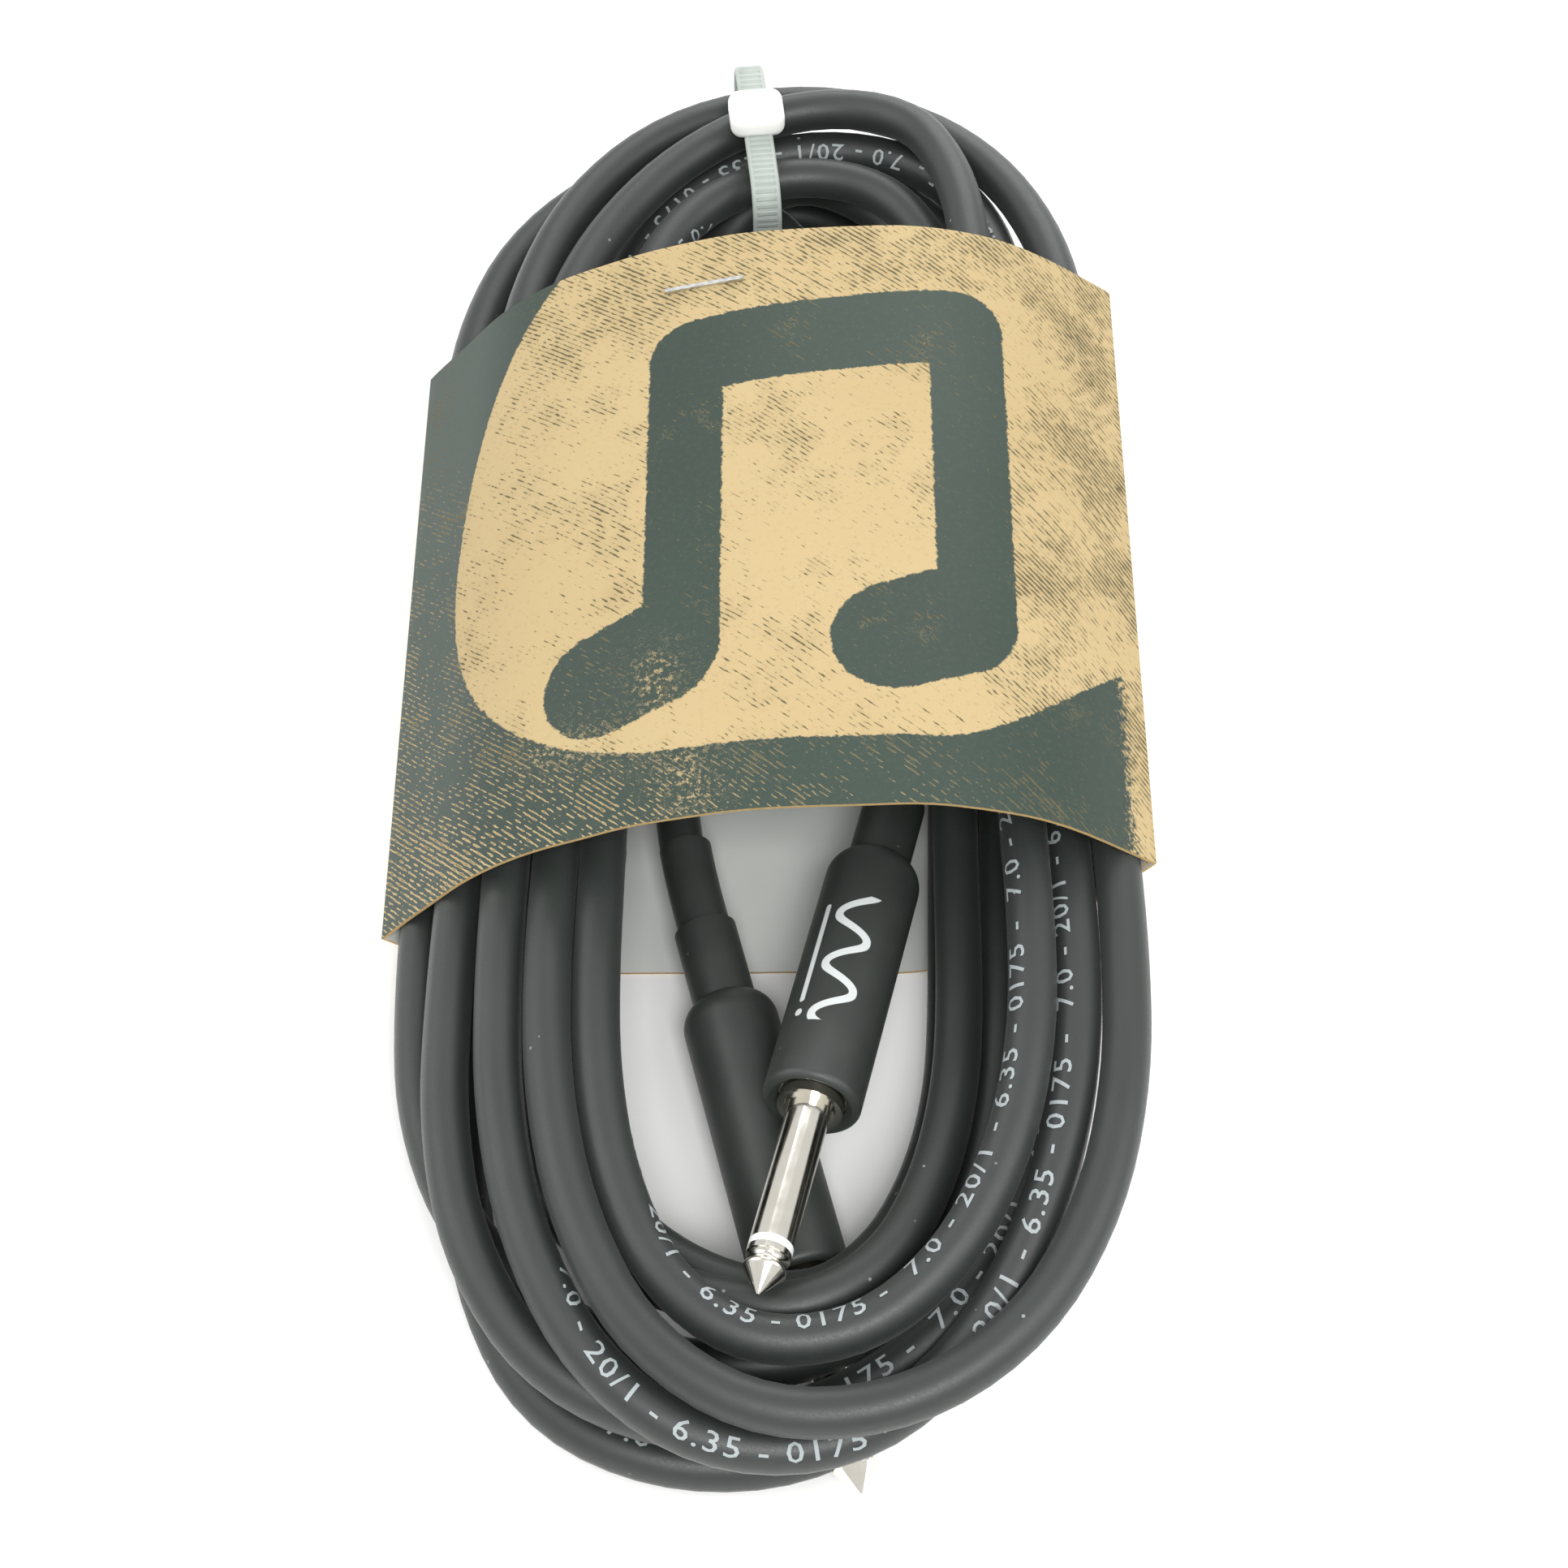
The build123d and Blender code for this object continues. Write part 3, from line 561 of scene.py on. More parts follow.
def settle(points, held, diameter, steps):
    """Eases the turns apart until they lie beside and on each other, inside the card and the tie."""
    start, points = points.copy(), points.copy()
    weights = spline_weights(len(points))
    spread = weights.T / np.maximum(weights.sum(0)[:, None], 1e-9)
    free = weights @ (~held).astype(float) > 0.5
    place = np.arange(len(weights))
    apart = np.abs(place[:, None] - place[None, :-1]) > NEIGHBOURS
    ring, edge, size, inward = card_walls()
    rods = plug_rods()
    for _ in range(steps):
        samples = weights @ points
        push = np.zeros_like(samples)
        # strand from strand
        base, run = samples[:-1], np.diff(samples, axis=0)
        gap = samples[:, None] - base[None]
        t = np.clip((gap * run[None]).sum(2) / (run ** 2).sum(1)[None], 0, 1)
        gap = gap - t[:, :, None] * run[None]
        distance = np.sqrt((gap ** 2).sum(2)) + 1e-9
        i, j = np.nonzero(apart & (distance < diameter))
        shove = STRAND_PUSH * ((diameter - distance[i, j]) / distance[i, j])[:, None] * gap[i, j]
        share = t[i, j][:, None]
        np.add.at(push, i, shove)
        np.add.at(push, j, -shove * (1 - share))
        np.add.at(push, j + 1, -shove * share)
        # up from the floor
        push[:, 2] += np.maximum(0, diameter / 2 + FLOOR_GAP - samples[:, 2]) * WALL_PUSH
        # away from the plugs
        for low, high, radius in rods:
            way = high - low
            off = samples - low
            off = off - np.clip((off @ way) / (way @ way), 0, 1)[:, None] * way
            far = np.linalg.norm(off, axis=1)
            reach = radius + diameter / 2 + SKIN_GAP
            near = (far < reach) & free
            push[near] += off[near] / far[near][:, None] * (reach - far[near])[:, None] * WALL_PUSH
        # into the tie's loop
        tied = (np.abs(samples[:, 0] - TIE_X) < TIE_REACH) & (samples[:, 1] > TIE_FROM_Y) & free
        inset = diameter / 2 + TIE_GAP
        for k, (low, high) in ((1, TIE_SPAN_Y), (2, TIE_SPAN_Z)):
            push[tied, k] -= np.maximum(0, samples[tied, k] - (high - inset)) * WALL_PUSH
            push[tied, k] += np.maximum(0, low + inset - samples[tied, k]) * WALL_PUSH
        # into the card
        carded = np.nonzero(samples[:, 1] < CARD_NEAR + CARD_LEN + 2)[0]
        spot = samples[carded][:, [0, 2]]
        off = spot[:, None] - ring[None]
        side = (off * inward[None]).sum(2)
        foot = np.clip((off * edge[None]).sum(2), 0, size[None])
        off = off - foot[:, :, None] * edge[None]
        far = np.linalg.norm(off, axis=2)
        wall = far.argmin(1)
        rows = np.arange(len(spot))
        lack = diameter / 2 + CARD_T / 2 + SKIN_GAP - np.sign(side[rows, wall]) * far[rows, wall]
        tight = lack > 0
        push[carded[tight], 0] += inward[wall[tight], 0] * lack[tight] * WALL_PUSH
        push[carded[tight], 2] += inward[wall[tight], 1] * lack[tight] * WALL_PUSH
        points[~held] += (spread @ push * ROUND_GAIN)[~held]
        moved = points - start
        even = moved.copy()
        even[1:-1] = (moved[:-2] + 2 * moved[1:-1] + moved[2:]) / 4
        points[~held] = (start + (1 - EVENING) * moved + EVENING * even)[~held]
    return points


def nurbs_curve(name, points, radius):
    """One open NURBS spline of order 3 through the air, with a round section."""
    data = bpy.data.curves.new(name, "CURVE")
    data.dimensions = "3D"
    data.resolution_u = 5
    data.bevel_depth = radius
    data.bevel_resolution = 7
    spline = data.splines.new("NURBS")
    spline.points.add(len(points) - 1)
    for knot, point in zip(spline.points, points):
        knot.co = (*point, 1.0)
    spline.order_u = 3
    spline.use_endpoint_u = True
    spline.use_smooth = True
    return put(name, data)


def thin_copy(curve):
    """A copy of a curve with no thickness, as a guide."""
    guide = curve.copy()
    guide.data = curve.data.copy()
    guide.data.bevel_depth = 0.0
    bpy.context.collection.objects.link(guide)
    return guide


def line_of(curve):
    """Points along a curve's own centreline, read from its spline."""
    mesh = evaluated(thin_copy(curve))
    line = np.array([v.co[:] for v in mesh.vertices])
    bpy.data.meshes.remove(mesh)
    return line


# ---- marking on the jacket ---------------------------------------------------------------------
def flat_text(words, height, slices):
    """Digits as a flat mesh about y = 0, cut into bands so that it can wrap round the cord."""
    data = bpy.data.curves.new("marking_source", "FONT")
    data.body = words
    data.size = height / 0.7
    data.offset = height * 0.008
    data.resolution_u = 2
    data.space_character = 1.12
    piece = plain_mesh(put("marking_source", data), "marking_flat")
    work = bmesh.new()
    work.from_mesh(piece.data)
    bmesh.ops.translate(work, vec=(0.0, -height / 2, 0.0), verts=work.verts)
    bmesh.ops.scale(work, vec=(1.22, 1.0, 1.0), verts=work.verts)
    for k in range(1, slices):
        level = -height / 2 + height * k / slices
        bmesh.ops.bisect_plane(work, geom=work.verts[:] + work.edges[:] + work.faces[:],
                               plane_co=(0, level, 0), plane_no=(0, 1, 0))
    bmesh.ops.triangulate(work, faces=work.faces)
    work.to_mesh(piece.data)
    work.free()
    return piece


def marking_tree():
    """Repeats a flat marking along X and wraps the row on the cord's skin."""
    tree = bpy.data.node_groups.new("marking_along_cord", "GeometryNodeTree")
    face = tree.interface
    for name, kind in (("Geometry", "Geometry"), ("Cord Line", "Object"), ("Repeats", "Int"),
                       ("Pitch", "Float"), ("Start", "Float"), ("Skin Radius", "Float"),
                       ("Cord Length", "Float"), ("Ink", "Material")):
        face.new_socket(name=name, in_out="INPUT", socket_type="NodeSocket" + kind)
    face.new_socket(name="Geometry", in_out="OUTPUT", socket_type="NodeSocketGeometry")
    given = {socket.name: Value(tree, socket) for socket in tree.nodes.new("NodeGroupInput").outputs}
    radius = given["Skin Radius"]
    row = take(tree, "GeometryNodeMeshLine", {"Count": given["Repeats"],
                                              "Start Location": flat_point(tree, given["Start"]),
                                              "Offset": flat_point(tree, given["Pitch"])})
    marks = take(tree, "GeometryNodeInstanceOnPoints", {"Points": row, "Instance": given["Geometry"]})
    real = take(tree, "GeometryNodeRealizeInstances", {"Geometry": marks})
    station, across = take(tree, "GeometryNodeInputPosition").split()
    cord = take(tree, "GeometryNodeObjectInfo", {"Object": given["Cord Line"]}, "Geometry")
    line = add(tree, "GeometryNodeSampleCurve", {"Curves": cord, "Length": station}, mode="LENGTH").outputs
    ahead = Value(tree, line["Tangent"])
    level = scaled(tree, ahead, ahead.vector("DOT_PRODUCT", LEGEND_FACING))
    out = vector_maths(tree, "SUBTRACT", LEGEND_FACING, level).vector("NORMALIZE")
    side = out.vector("CROSS_PRODUCT", ahead)
    roll = add(tree, "ShaderNodeFloatCurve", {"Value": station / given["Cord Length"]})
    knots = roll.mapping.curves[0].points
    for place, degrees in MARK_ROLL[1:-1]:
        knots.new(place / MARK_ROLL[-1][0], 0.5 + degrees / 360)
    for knot, degrees in ((knots[0], MARK_ROLL[0][1]), (knots[-1], MARK_ROLL[-1][1])):
        knot.location = (knot.location[0], 0.5 + degrees / 360)
    for knot in knots:
        knot.handle_type = "VECTOR"
    roll.mapping.update()
    angle = across / radius + (Value(tree, roll.outputs[0]) - 0.5) * (2 * math.pi)
    rise = scaled(tree, out, maths(tree, "COSINE", angle) * radius)
    reach = scaled(tree, side, maths(tree, "SINE", angle) * radius)
    spot = Value(tree, line["Position"]).vector("ADD", rise.vector("ADD", reach))
    wrapped = take(tree, "GeometryNodeSetPosition", {"Geometry": real, "Position": spot})
    plain = take(tree, "GeometryNodeRealizeInstances", {"Geometry": wrapped})
    inked = take(tree, "GeometryNodeSetMaterial", {"Geometry": plain, "Material": given["Ink"]})
    tree.links.new(inked.socket, tree.nodes.new("NodeGroupOutput").inputs[0])
    return tree


def use_tree(piece, tree, values):
    """Puts a tree on a piece, with its inputs set by their identifiers."""
    modifier = piece.modifiers.new(tree.name, "NODES")
    modifier.node_group = tree
    for socket in tree.interface.items_tree:
        if socket.item_type == "SOCKET" and socket.in_out == "INPUT" and socket.name in values:
            modifier[socket.identifier] = values[socket.name]


# ---- card sleeve ---------------------------------------------------------------------------------
def capsule(place, a, b, radius):
    """Distance to a thick round-ended stroke from a to b, in millimetres, less than 0 inside."""
    along = tuple(q - p for p, q in zip(a, b)) + (0.0,)
    off = place.vector("SUBTRACT", tuple(a) + (0.0,))
    size = sum(v * v for v in along)
    share = maths(place.tree, "DIVIDE", off.vector("DOT_PRODUCT", along), size, clamp=True)
    return off.vector("SUBTRACT", scaled(place.tree, along, share)).vector("LENGTH") - radius


def rounded_box(place, centre, half, radius):
    off = place.vector("SUBTRACT", tuple(centre) + (0.0,)).vector("ABSOLUTE")
    reach = off.vector("SUBTRACT", (half[0] - radius, half[1] - radius, 1000.0))
    outside = reach.vector("MAXIMUM", (0.0, 0.0, 0.0)).vector("LENGTH")
    across, up = reach.split()
    return outside + across.most(up).least(0.0) - radius


def printed_kraft(settings):
    """Kraft board with one worn flat ink: straw fibres, slanted hatch where ink missed the grain, opened
    wider on the left flank as a painted highlight.
    """
    board = Finish("kraft_board_with_worn_ink_and_painted_highlight")
    tree = board.tree
    sheet = take(tree, "ShaderNodeUVMap", uv_map="sheet")
    flat = sheet.vector("MULTIPLY", (1000.0, 1000.0, 0.0))
    shake = noise(flat, 0.9, 4.0, 0.7, per_unit=1.0, output="Color").vector("SUBTRACT", (0.5, 0.5, 0.0))
    ragged = flat.vector("ADD", scaled(tree, shake, 1.5))
    # bare window in the ink, open to the far edge and the right, and the emblem of two joined notes in it
    x, y = ragged.split()
    upper = (y - 58.0).most(0.0) * 0.31
    toe = take(tree, "ShaderNodeMapRange", {0: x, 1: 96.0, 2: 134.0, 3: 0.0, 4: 19.0},
               interpolation_type="SMOOTHSTEP")
    window = rounded_box(flat_point(tree, x, y - upper - toe), (87.0, 58.0), (73.0, 46.0), 45.9)
    emblem = capsule(ragged, *EMBLEM[0])
    for stroke in EMBLEM[1:]:
        emblem = emblem.least(capsule(ragged, *stroke))
    # ink lies outside the window and on the emblem
    inked = (window * -1.0).least(emblem).remap(0.12, -0.12)
    # slanted rows of dashes where ink skipped the board's grain
    u, v = flat.split()
    along = u * 0.76 - v * 0.65
    across = u * 0.65 + v * 0.76 + noise(sheet, 0.02, 1.0) * 2.5
    rows = maths(tree, "SINE", across * (2 * math.pi / GRAIN_PITCH))
    weave = flat_point(tree, along * 0.60, across * 1.3)
    dashes = noise(weave, 1.0, 2.0, 0.6, per_unit=1.0) + rows * 0.20
    broken = noise(sheet, 1.1, 3.0, 0.65)
    patchy = noise(sheet, 0.075, 4.0, 0.68)
    # ink is thin in broad patches along the near edge; low on the left flank more board shows through, a
    # painted highlight that lightens the flank as light from the left would
    left_flank_highlight = (u + v * 0.55).remap(78.0, 18.0)
    low = v.remap(22.0, 2.0)
    thin_ink_and_highlight = left_flank_highlight * 0.17 + low * 0.09 + (patchy - 0.5) * 0.9
    skipped_ink_and_highlight = (dashes + thin_ink_and_highlight).remap(0.82, 0.89)
    # pulled fibres: fine curled scratches round one rubbed place, and few elsewhere
    curl = noise(flat, 0.55, 3.0, 0.7, 1.2, per_unit=1.0)
    hair = abs(curl - 0.5).remap(0.010, 0.004)
    scuff = capsule(ragged, (54.0, 27.0), (60.0, 4.0), 3.5)
    scuff = scuff.least(capsule(ragged, (36.0, 17.0), (62.0, 14.0), 3.0))
    scuffed = scuff.remap(6.0, -2.0) * broken.remap(0.42, 0.56)
    pulled = hair * scuffed.most(patchy.remap(0.60, 0.66) * 0.5)
    raw = scuff.remap(1.0, -3.0) * broken.remap(0.55, 0.60, 0.0, 0.8)
    pinholes = noise(sheet, 2.2, 2.0, 0.6).remap(0.715, 0.735)
    rub = (u + (broken - 0.5) * 9.0).remap(127.5, 129.0)
    missing_ink_and_highlight = skipped_ink_and_highlight
    for more in (pulled, raw, pinholes, rub):
        missing_ink_and_highlight = missing_ink_and_highlight.most(more)
    # ink coverage, less the painted highlight on the left flank
    ink_less_painted_highlight = inked * maths(tree, "SUBTRACT", 1.0, missing_ink_and_highlight, clamp=True)
    # faint ink dashes picked up by the bare board, heaviest to the right and along the far edge
    dirt = u.remap(92.0, 128.0).most(v.remap(84.0, 112.0)) * 0.15 + (patchy - 0.5) * 0.95
    ghost = (dashes + dirt).remap(0.72, 0.86, 0.0, 0.9)
    cloud = noise(sheet, 0.02, 3.0)
    smear = (dirt + patchy).remap(0.52, 0.90, 0.0, 0.20)
    fleck = noise(sheet, 0.9, 4.0, 0.7)
    straw = blend(cloud, settings.kraft_light, settings.kraft_dark)
    straw = blend(fleck.remap(0.55, 0.75, 0.0, 0.35), straw, "#967848")
    straw = blend(smear, straw, "#6f6444")
    straw = blend(ghost.most(pinholes * 0.8), straw, "#4c4730")
    paint = blend(cloud, settings.ink, settings.ink_light)
    paint = blend(broken.remap(0.5, 0.7, 0.0, 0.2), paint, "#4c5447")
    fibres = noise(sheet, 1.7, 5.0, 0.8)
    return board.coat({"Base Color": blend(ink_less_painted_highlight, straw, paint), "Specular IOR Level": 0.3,
                       "Roughness": ink_less_painted_highlight.remap(0.0, 1.0, 0.80, 0.46)},
                      (fibres * 0.5 + ink_less_painted_highlight * 0.25, 0.35, 0.08))


def coated_white():
    """The board's clay-coated back: off-white, faintly mottled, low sheen."""
    back = Finish("clay_coated_board_back")
    tone = blend(noise(back.place, 0.06, 3.0), "#d3d5d1", "#c8cac6")
    return back.coat({"Base Color": tone, "Roughness": 0.5}, (noise(back.place, 2.0, 3.0), 0.15, 0.03))


def cut_edge():
    """Raw cut edge of the board: brown layers and loose fibres."""
    edge = Finish("raw_cut_board_edge")
    fibre = noise(edge.place, 2.5, 4.0, 0.75)
    return edge.coat({"Base Color": blend(fibre, "#8a7145", "#c2a671"), "Roughness": 0.9}, (fibre, 0.5, 0.1))


def even_line(line, step):
    run = runs(line)
    count = max(2, int(round(run[-1] / step)))
    stops = np.linspace(0, run[-1], count + 1)
    return np.c_[np.interp(stops, run, line[:, 0]), np.interp(stops, run, line[:, 1])], stops


def chewed(u, phase):
    """Small irregularities of a guillotined, handled edge, in millimetres, never outwards."""
    slow = math.sin(u * 0.21 + phase) + math.sin(u * 0.083 + 2.1 * phase)
    fast = math.sin(u * 1.9 + 3 * phase) * math.sin(u * 0.71)
    return 0.05 * slow ** 2 + 0.10 * max(0.0, fast - 0.55) + 0.03


def card_ring():
    """The bent sheet's middle line, runs along it, outward sides, and its front's and whole length."""
    front, back = card_lines()
    upper, upper_run = even_line(front, CARD_STEP)
    lower, lower_run = even_line(back, CARD_STEP)
    middle = np.r_[upper, lower[1:-1]]
    run = np.r_[upper_run, upper_run[-1] + lower_run[1:-1]]
    ahead = np.roll(middle, -1, axis=0) - np.roll(middle, 1, axis=0)
    ahead /= np.linalg.norm(ahead, axis=1)[:, None]
    outward = np.c_[-ahead[:, 1], ahead[:, 0]]
    if np.sum((middle - middle.mean(0)) * outward) < 0:
        outward = -outward
    return middle, run, outward, upper_run[-1], upper_run[-1] + lower_run[-1]


def build_card(settings):
    """One closed skin: printed outside, white inside, raw edges, with a glued flap inside the right fold."""
    middle, run, outward, front_run, total = card_ring()
    count = len(middle)
    half = CARD_T / 2
    vertices, faces, kinds, sheet = [], [], [], []

    def add_vertex(k, skin, y):
        x, z = middle[k] + outward[k] * skin
        vertices.append((x * MM, y * MM, z * MM))
        sheet.append((run[k] * MM, (y - CARD_NEAR) * MM))

    def add_face(corners, kind, turned=False):
        faces.append(corners[::-1] if turned else corners)
        kinds.append(kind)

    near_in = [chewed(u, 0.4) for u in run]
    far_in = [chewed(u, 1.9) for u in run]
    for k in range(count):
        if run[k] > front_run:
            bite = run[k] - front_run - CHIP_AT
            near_in[k] += 0.9 * math.exp(-(bite / 3.0) ** 2) + 0.7 * math.exp(-((bite - 9.0) / 1.6) ** 2)
    for skin in (half, -half):
        for row in range(CARD_ROWS + 1):
            for k in range(count):
                share = row / CARD_ROWS
                add_vertex(k, skin, CARD_NEAR + near_in[k] + (CARD_LEN - near_in[k] - far_in[k]) * share)
    layer = (CARD_ROWS + 1) * count
    for row in range(CARD_ROWS):
        for k in range(count):
            after = (k + 1) % count
            a, b = row * count + k, row * count + after
            c, d = (row + 1) * count + after, (row + 1) * count + k
            add_face((a, b, c, d), PRINTED)
            add_face((layer + d, layer + c, layer + b, layer + a), COATED)
    for row, turned in ((0, True), (CARD_ROWS, False)):
        for k in range(count):
            a, b = row * count + k, row * count + (k + 1) % count
            add_face((a, b, layer + b, layer + a), RAW, turned)
    # glued flap, a second layer inside the back panel next to the right fold
    picks = [k for k in range(count) if 1.0 < run[k] - front_run < FLAP_W]
    span = len(picks)
    outer_near, outer_far, inner_near, inner_far = (len(vertices) + span * k for k in range(4))
    for skin in (-half + 0.02, -1.5 * CARD_T):
        for y in (CARD_NEAR + FLAP_INSET, CARD_NEAR + CARD_LEN - FLAP_INSET):
            for k in picks:
                add_vertex(k, skin, y)
    for k in range(span - 1):
        for low, high, kind, turned in ((inner_far, inner_near, COATED, False),
                                        (outer_near, inner_near, RAW, True),
                                        (outer_far, inner_far, RAW, False),
                                        (outer_near, outer_far, COATED, False)):
            add_face((low + k, low + k + 1, high + k + 1, high + k), kind, turned)
    for k in (0, span - 1):
        add_face((outer_near + k, outer_far + k, inner_far + k, inner_near + k), RAW, k == 0)
    piece = mesh_piece("printed_card", vertices, faces)
    mesh = piece.data
    face_outwards(mesh)
    for material in (printed_kraft(settings), coated_white(), cut_edge()):
        mesh.materials.append(material)
    mesh.polygons.foreach_set("material_index", kinds)
    lay_flat(mesh, "sheet", sheet, total * MM)
    mesh.set_sharp_from_angle(angle=math.radians(35))
    return piece


# ---- cable tie ---------------------------------------------------------------------------------
def tie_outline(inset, steps=8):
    """The strap's rounded outline in the Y-Z plane, anticlockwise, with its straights cut finely."""
    (y0, y1), (z0, z1) = TIE_SPAN_Y, TIE_SPAN_Z
    y0, y1, z0, z1 = y0 + inset, y1 - inset, z0 + inset, z1 - inset
    corner = TIE_CORNER - inset
    line = []
    for cy, cz, start in ((y1 - corner, z0 + corner, -90), (y1 - corner, z1 - corner, 0),
                          (y0 + corner, z1 - corner, 90), (y0 + corner, z0 + corner, 180)):
        for k in range(steps + 1):
            a = math.radians(start + 90 * k / steps)
            line.append((cy + corner * math.cos(a), cz + corner * math.sin(a)))
    return np.array(line)


def tie_place(x, y, z):
    """From the tie's own place to its turned place in the shared frame, in metres."""
    turn = math.radians(TIE_TURN)
    y = y - TIE_MIDDLE_Y
    return ((TIE_X + x * math.cos(turn) - y * math.sin(turn)) * MM,
            (TIE_MIDDLE_Y + x * math.sin(turn) + y * math.cos(turn)) * MM, z * MM)


def build_tie():
    """The strap as a swept band with eased edges, and the pillow-shaped head it passes through."""
    half = TIE_W / 2
    section = [(-half, TIE_EASE), (-half + TIE_EASE, 0.0), (half - TIE_EASE, 0.0), (half, TIE_EASE),
               (half, TIE_T - TIE_EASE), (half - TIE_EASE, TIE_T), (-half + TIE_EASE, TIE_T),
               (-half, TIE_T - TIE_EASE)]
    rings = [tie_outline(depth) for _, depth in section]
    count, width = len(rings[0]), len(section)
    run = runs(rings[0])
    vertices, faces, lengths = [], [], []
    for k in range(count):
        for (x, _), ring in zip(section, rings):
            vertices.append(tie_place(x, ring[k][0], ring[k][1]))
            lengths.append((run[k] * MM, x * MM))
    for k in range(count):
        for j in range(width):
            a, b = k * width + j, k * width + (j + 1) % width
            c, d = ((k + 1) % count) * width + (j + 1) % width, ((k + 1) % count) * width + j
            faces.append((a, b, c, d))
    piece = mesh_piece("cable_tie_moulding", vertices, faces)
    mesh = piece.data
    lay_flat(mesh, "strap", lengths, (run[-1] + SEAM_RUN) * MM)
    face_outwards(mesh)
    head = bmesh.new()
    bmesh.ops.create_cube(head, size=1.0)
    bmesh.ops.scale(head, vec=HEAD_SIZE, verts=head.verts)
    bmesh.ops.bevel(head, geom=head.edges[:], offset=HEAD_EASE, segments=6, profile=0.5, affect="EDGES")
    for vertex in head.verts:
        x, y, z = vertex.co
        vertex.co = tie_place(x, y + HEAD_Y, z + HEAD_Z)
    block = bpy.data.meshes.new("tie_head")
    head.to_mesh(block)
    head.free()
    face_outwards(block)
    both = bmesh.new()
    both.from_mesh(mesh)
    strap_faces = len(both.faces)
    both.from_mesh(block)
    for number, face in enumerate(both.faces):
        face.smooth = True
        face.material_index = 0 if number < strap_faces else 1
    both.to_mesh(mesh)
    both.free()
    bpy.data.meshes.remove(block)
    mesh.materials.append(strap_nylon())
    mesh.materials.append(moulded("natural_nylon_head", "#fbfbf6", "#f1f3ec", 0.40, 0.5))
    mesh.set_sharp_from_angle(angle=math.radians(50))
    return piece


# ---- settings ------------------------------------------------------------------------------------
def colour_text(name, about, default):
    return bpy.props.StringProperty(name=name, description=about, default=default)


def amount(name, about, default, **limits):
    return bpy.props.FloatProperty(name=name, description=about, default=default, **limits)


def power(name, about, default):
    return amount(name, about, default, subtype="POWER", min=0)


class CordSettings(bpy.types.PropertyGroup):
    diameter: amount("Diameter", "Outer diameter of the jacket", 0.007, unit="LENGTH", min=0.004, max=0.009)
    mark_height: amount("Marking height", "Height of the printed digits", 0.0029,
                        unit="LENGTH", min=0.001, max=0.004)
    mark_gap: amount("Marking gap", "Blank jacket between two markings", 0.0042,
                     unit="LENGTH", min=0.002, max=0.2)
    settle_steps: bpy.props.IntProperty(name="Settling steps", description="Rounds that ease the turns apart",
                                        default=110, min=0, max=300)
    jacket_dark: colour_text("Jacket, dark", "Darker tone of the jacket", "#1f2321")
    jacket_light: colour_text("Jacket, light", "Lighter tone of the jacket", "#2a2f2c")


class PlugSettings(bpy.types.PropertyGroup):
    barrel_dark: colour_text("Barrel, dark", "Darker tone of the shrink sleeve", "#2b2e2c")
    barrel_light: colour_text("Barrel, light", "Lighter tone of the shrink sleeve", "#383c39")
    nickel: colour_text("Nickel", "Tone of the plated shank", "#e6e1d5")


class CardSettings(bpy.types.PropertyGroup):
    kraft_light: colour_text("Kraft, light", "Lighter tone of the bare board", "#b4a179")
    kraft_dark: colour_text("Kraft, dark", "Darker tone of the bare board", "#a8936a")
    ink: colour_text("Ink", "Main tone of the printed ink", "#2d3932")
    ink_light: colour_text("Ink, light", "Thin places in the ink", "#36433b")


class StageSettings(bpy.types.PropertyGroup):
    key_power: power("Key light", "Power of the large key light", 5.0)
    fill_power: power("Fill light", "Power of the fill light", 5.0)
    front_power: power("Camera-side light", "Power of the light near the camera", 7.0)
    lens: amount("Lens", "Focal length in millimetres", 68.5, min=20)


# ---- operators -----------------------------------------------------------------------------------
class CABLE_OT_stage(bpy.types.Operator):
    """Adds the pale floor, the soft lights and the camera"""
    bl_idname = "cable.stage"
    bl_label = "Stage"

    def execute(self, context):
        settings = context.scene.cable_stage
        camera = bpy.data.cameras.new("camera")
        camera.lens = settings.lens
        camera.sensor_width = 36.0
        camera.clip_start = 0.01
        eye = put("camera", camera)
        eye.location = (0.0034, -0.27795, 0.40130)
        eye.rotation_euler = (math.radians(34.0), 0.0, 0.0)
        context.scene.camera = eye
        reach = 3.0
        corners = [(-reach, -reach, 0), (reach, -reach, 0), (reach, reach, 0), (-reach, reach, 0)]
        floor = mesh_piece("floor", corners, [(0, 1, 2, 3)], smooth=False)
        paper = Finish("pale_paper_sweep")
        tone = blend(noise(paper.place, 0.01, 2.0), "#f4f4f3", "#efefee")
        floor.data.materials.append(paper.coat({"Base Color": tone, "Roughness": 0.85}))
        for name, power, size, spot, aim in (
                ("key_light", settings.key_power, 0.9, (-0.80, 0.10, 0.72), (0.0, 0.0, 0.02)),
                ("fill_light", settings.fill_power, 0.8, (0.75, -0.25, 0.75), (0.0, 0.0, 0.02)),
                ("far_light", settings.fill_power, 0.7, (0.15, 0.95, 0.55), (0.0, 0.0, 0.02)),
                ("camera_side_light", settings.front_power, 0.35, (0.08, -0.62, 0.86), (0.0, -0.05, 0.02))):
            data = bpy.data.lights.new(name, "AREA")
            data.energy = power
            data.size = size
            lamp = put(name, data)
            lamp.location = spot
            way = Vector(aim) - Vector(spot)
            lamp.rotation_euler = way.to_track_quat("-Z", "Y").to_euler()
        world = bpy.data.worlds.new("soft_room")
        world.use_nodes = True
        backdrop = world.node_tree.nodes["Background"]
        backdrop.inputs[0].default_value = (1.0, 1.0, 1.0, 1.0)
        backdrop.inputs[1].default_value = 0.75
        context.scene.world = world
        context.scene.view_settings.view_transform = "Standard"
        return {"FINISHED"}


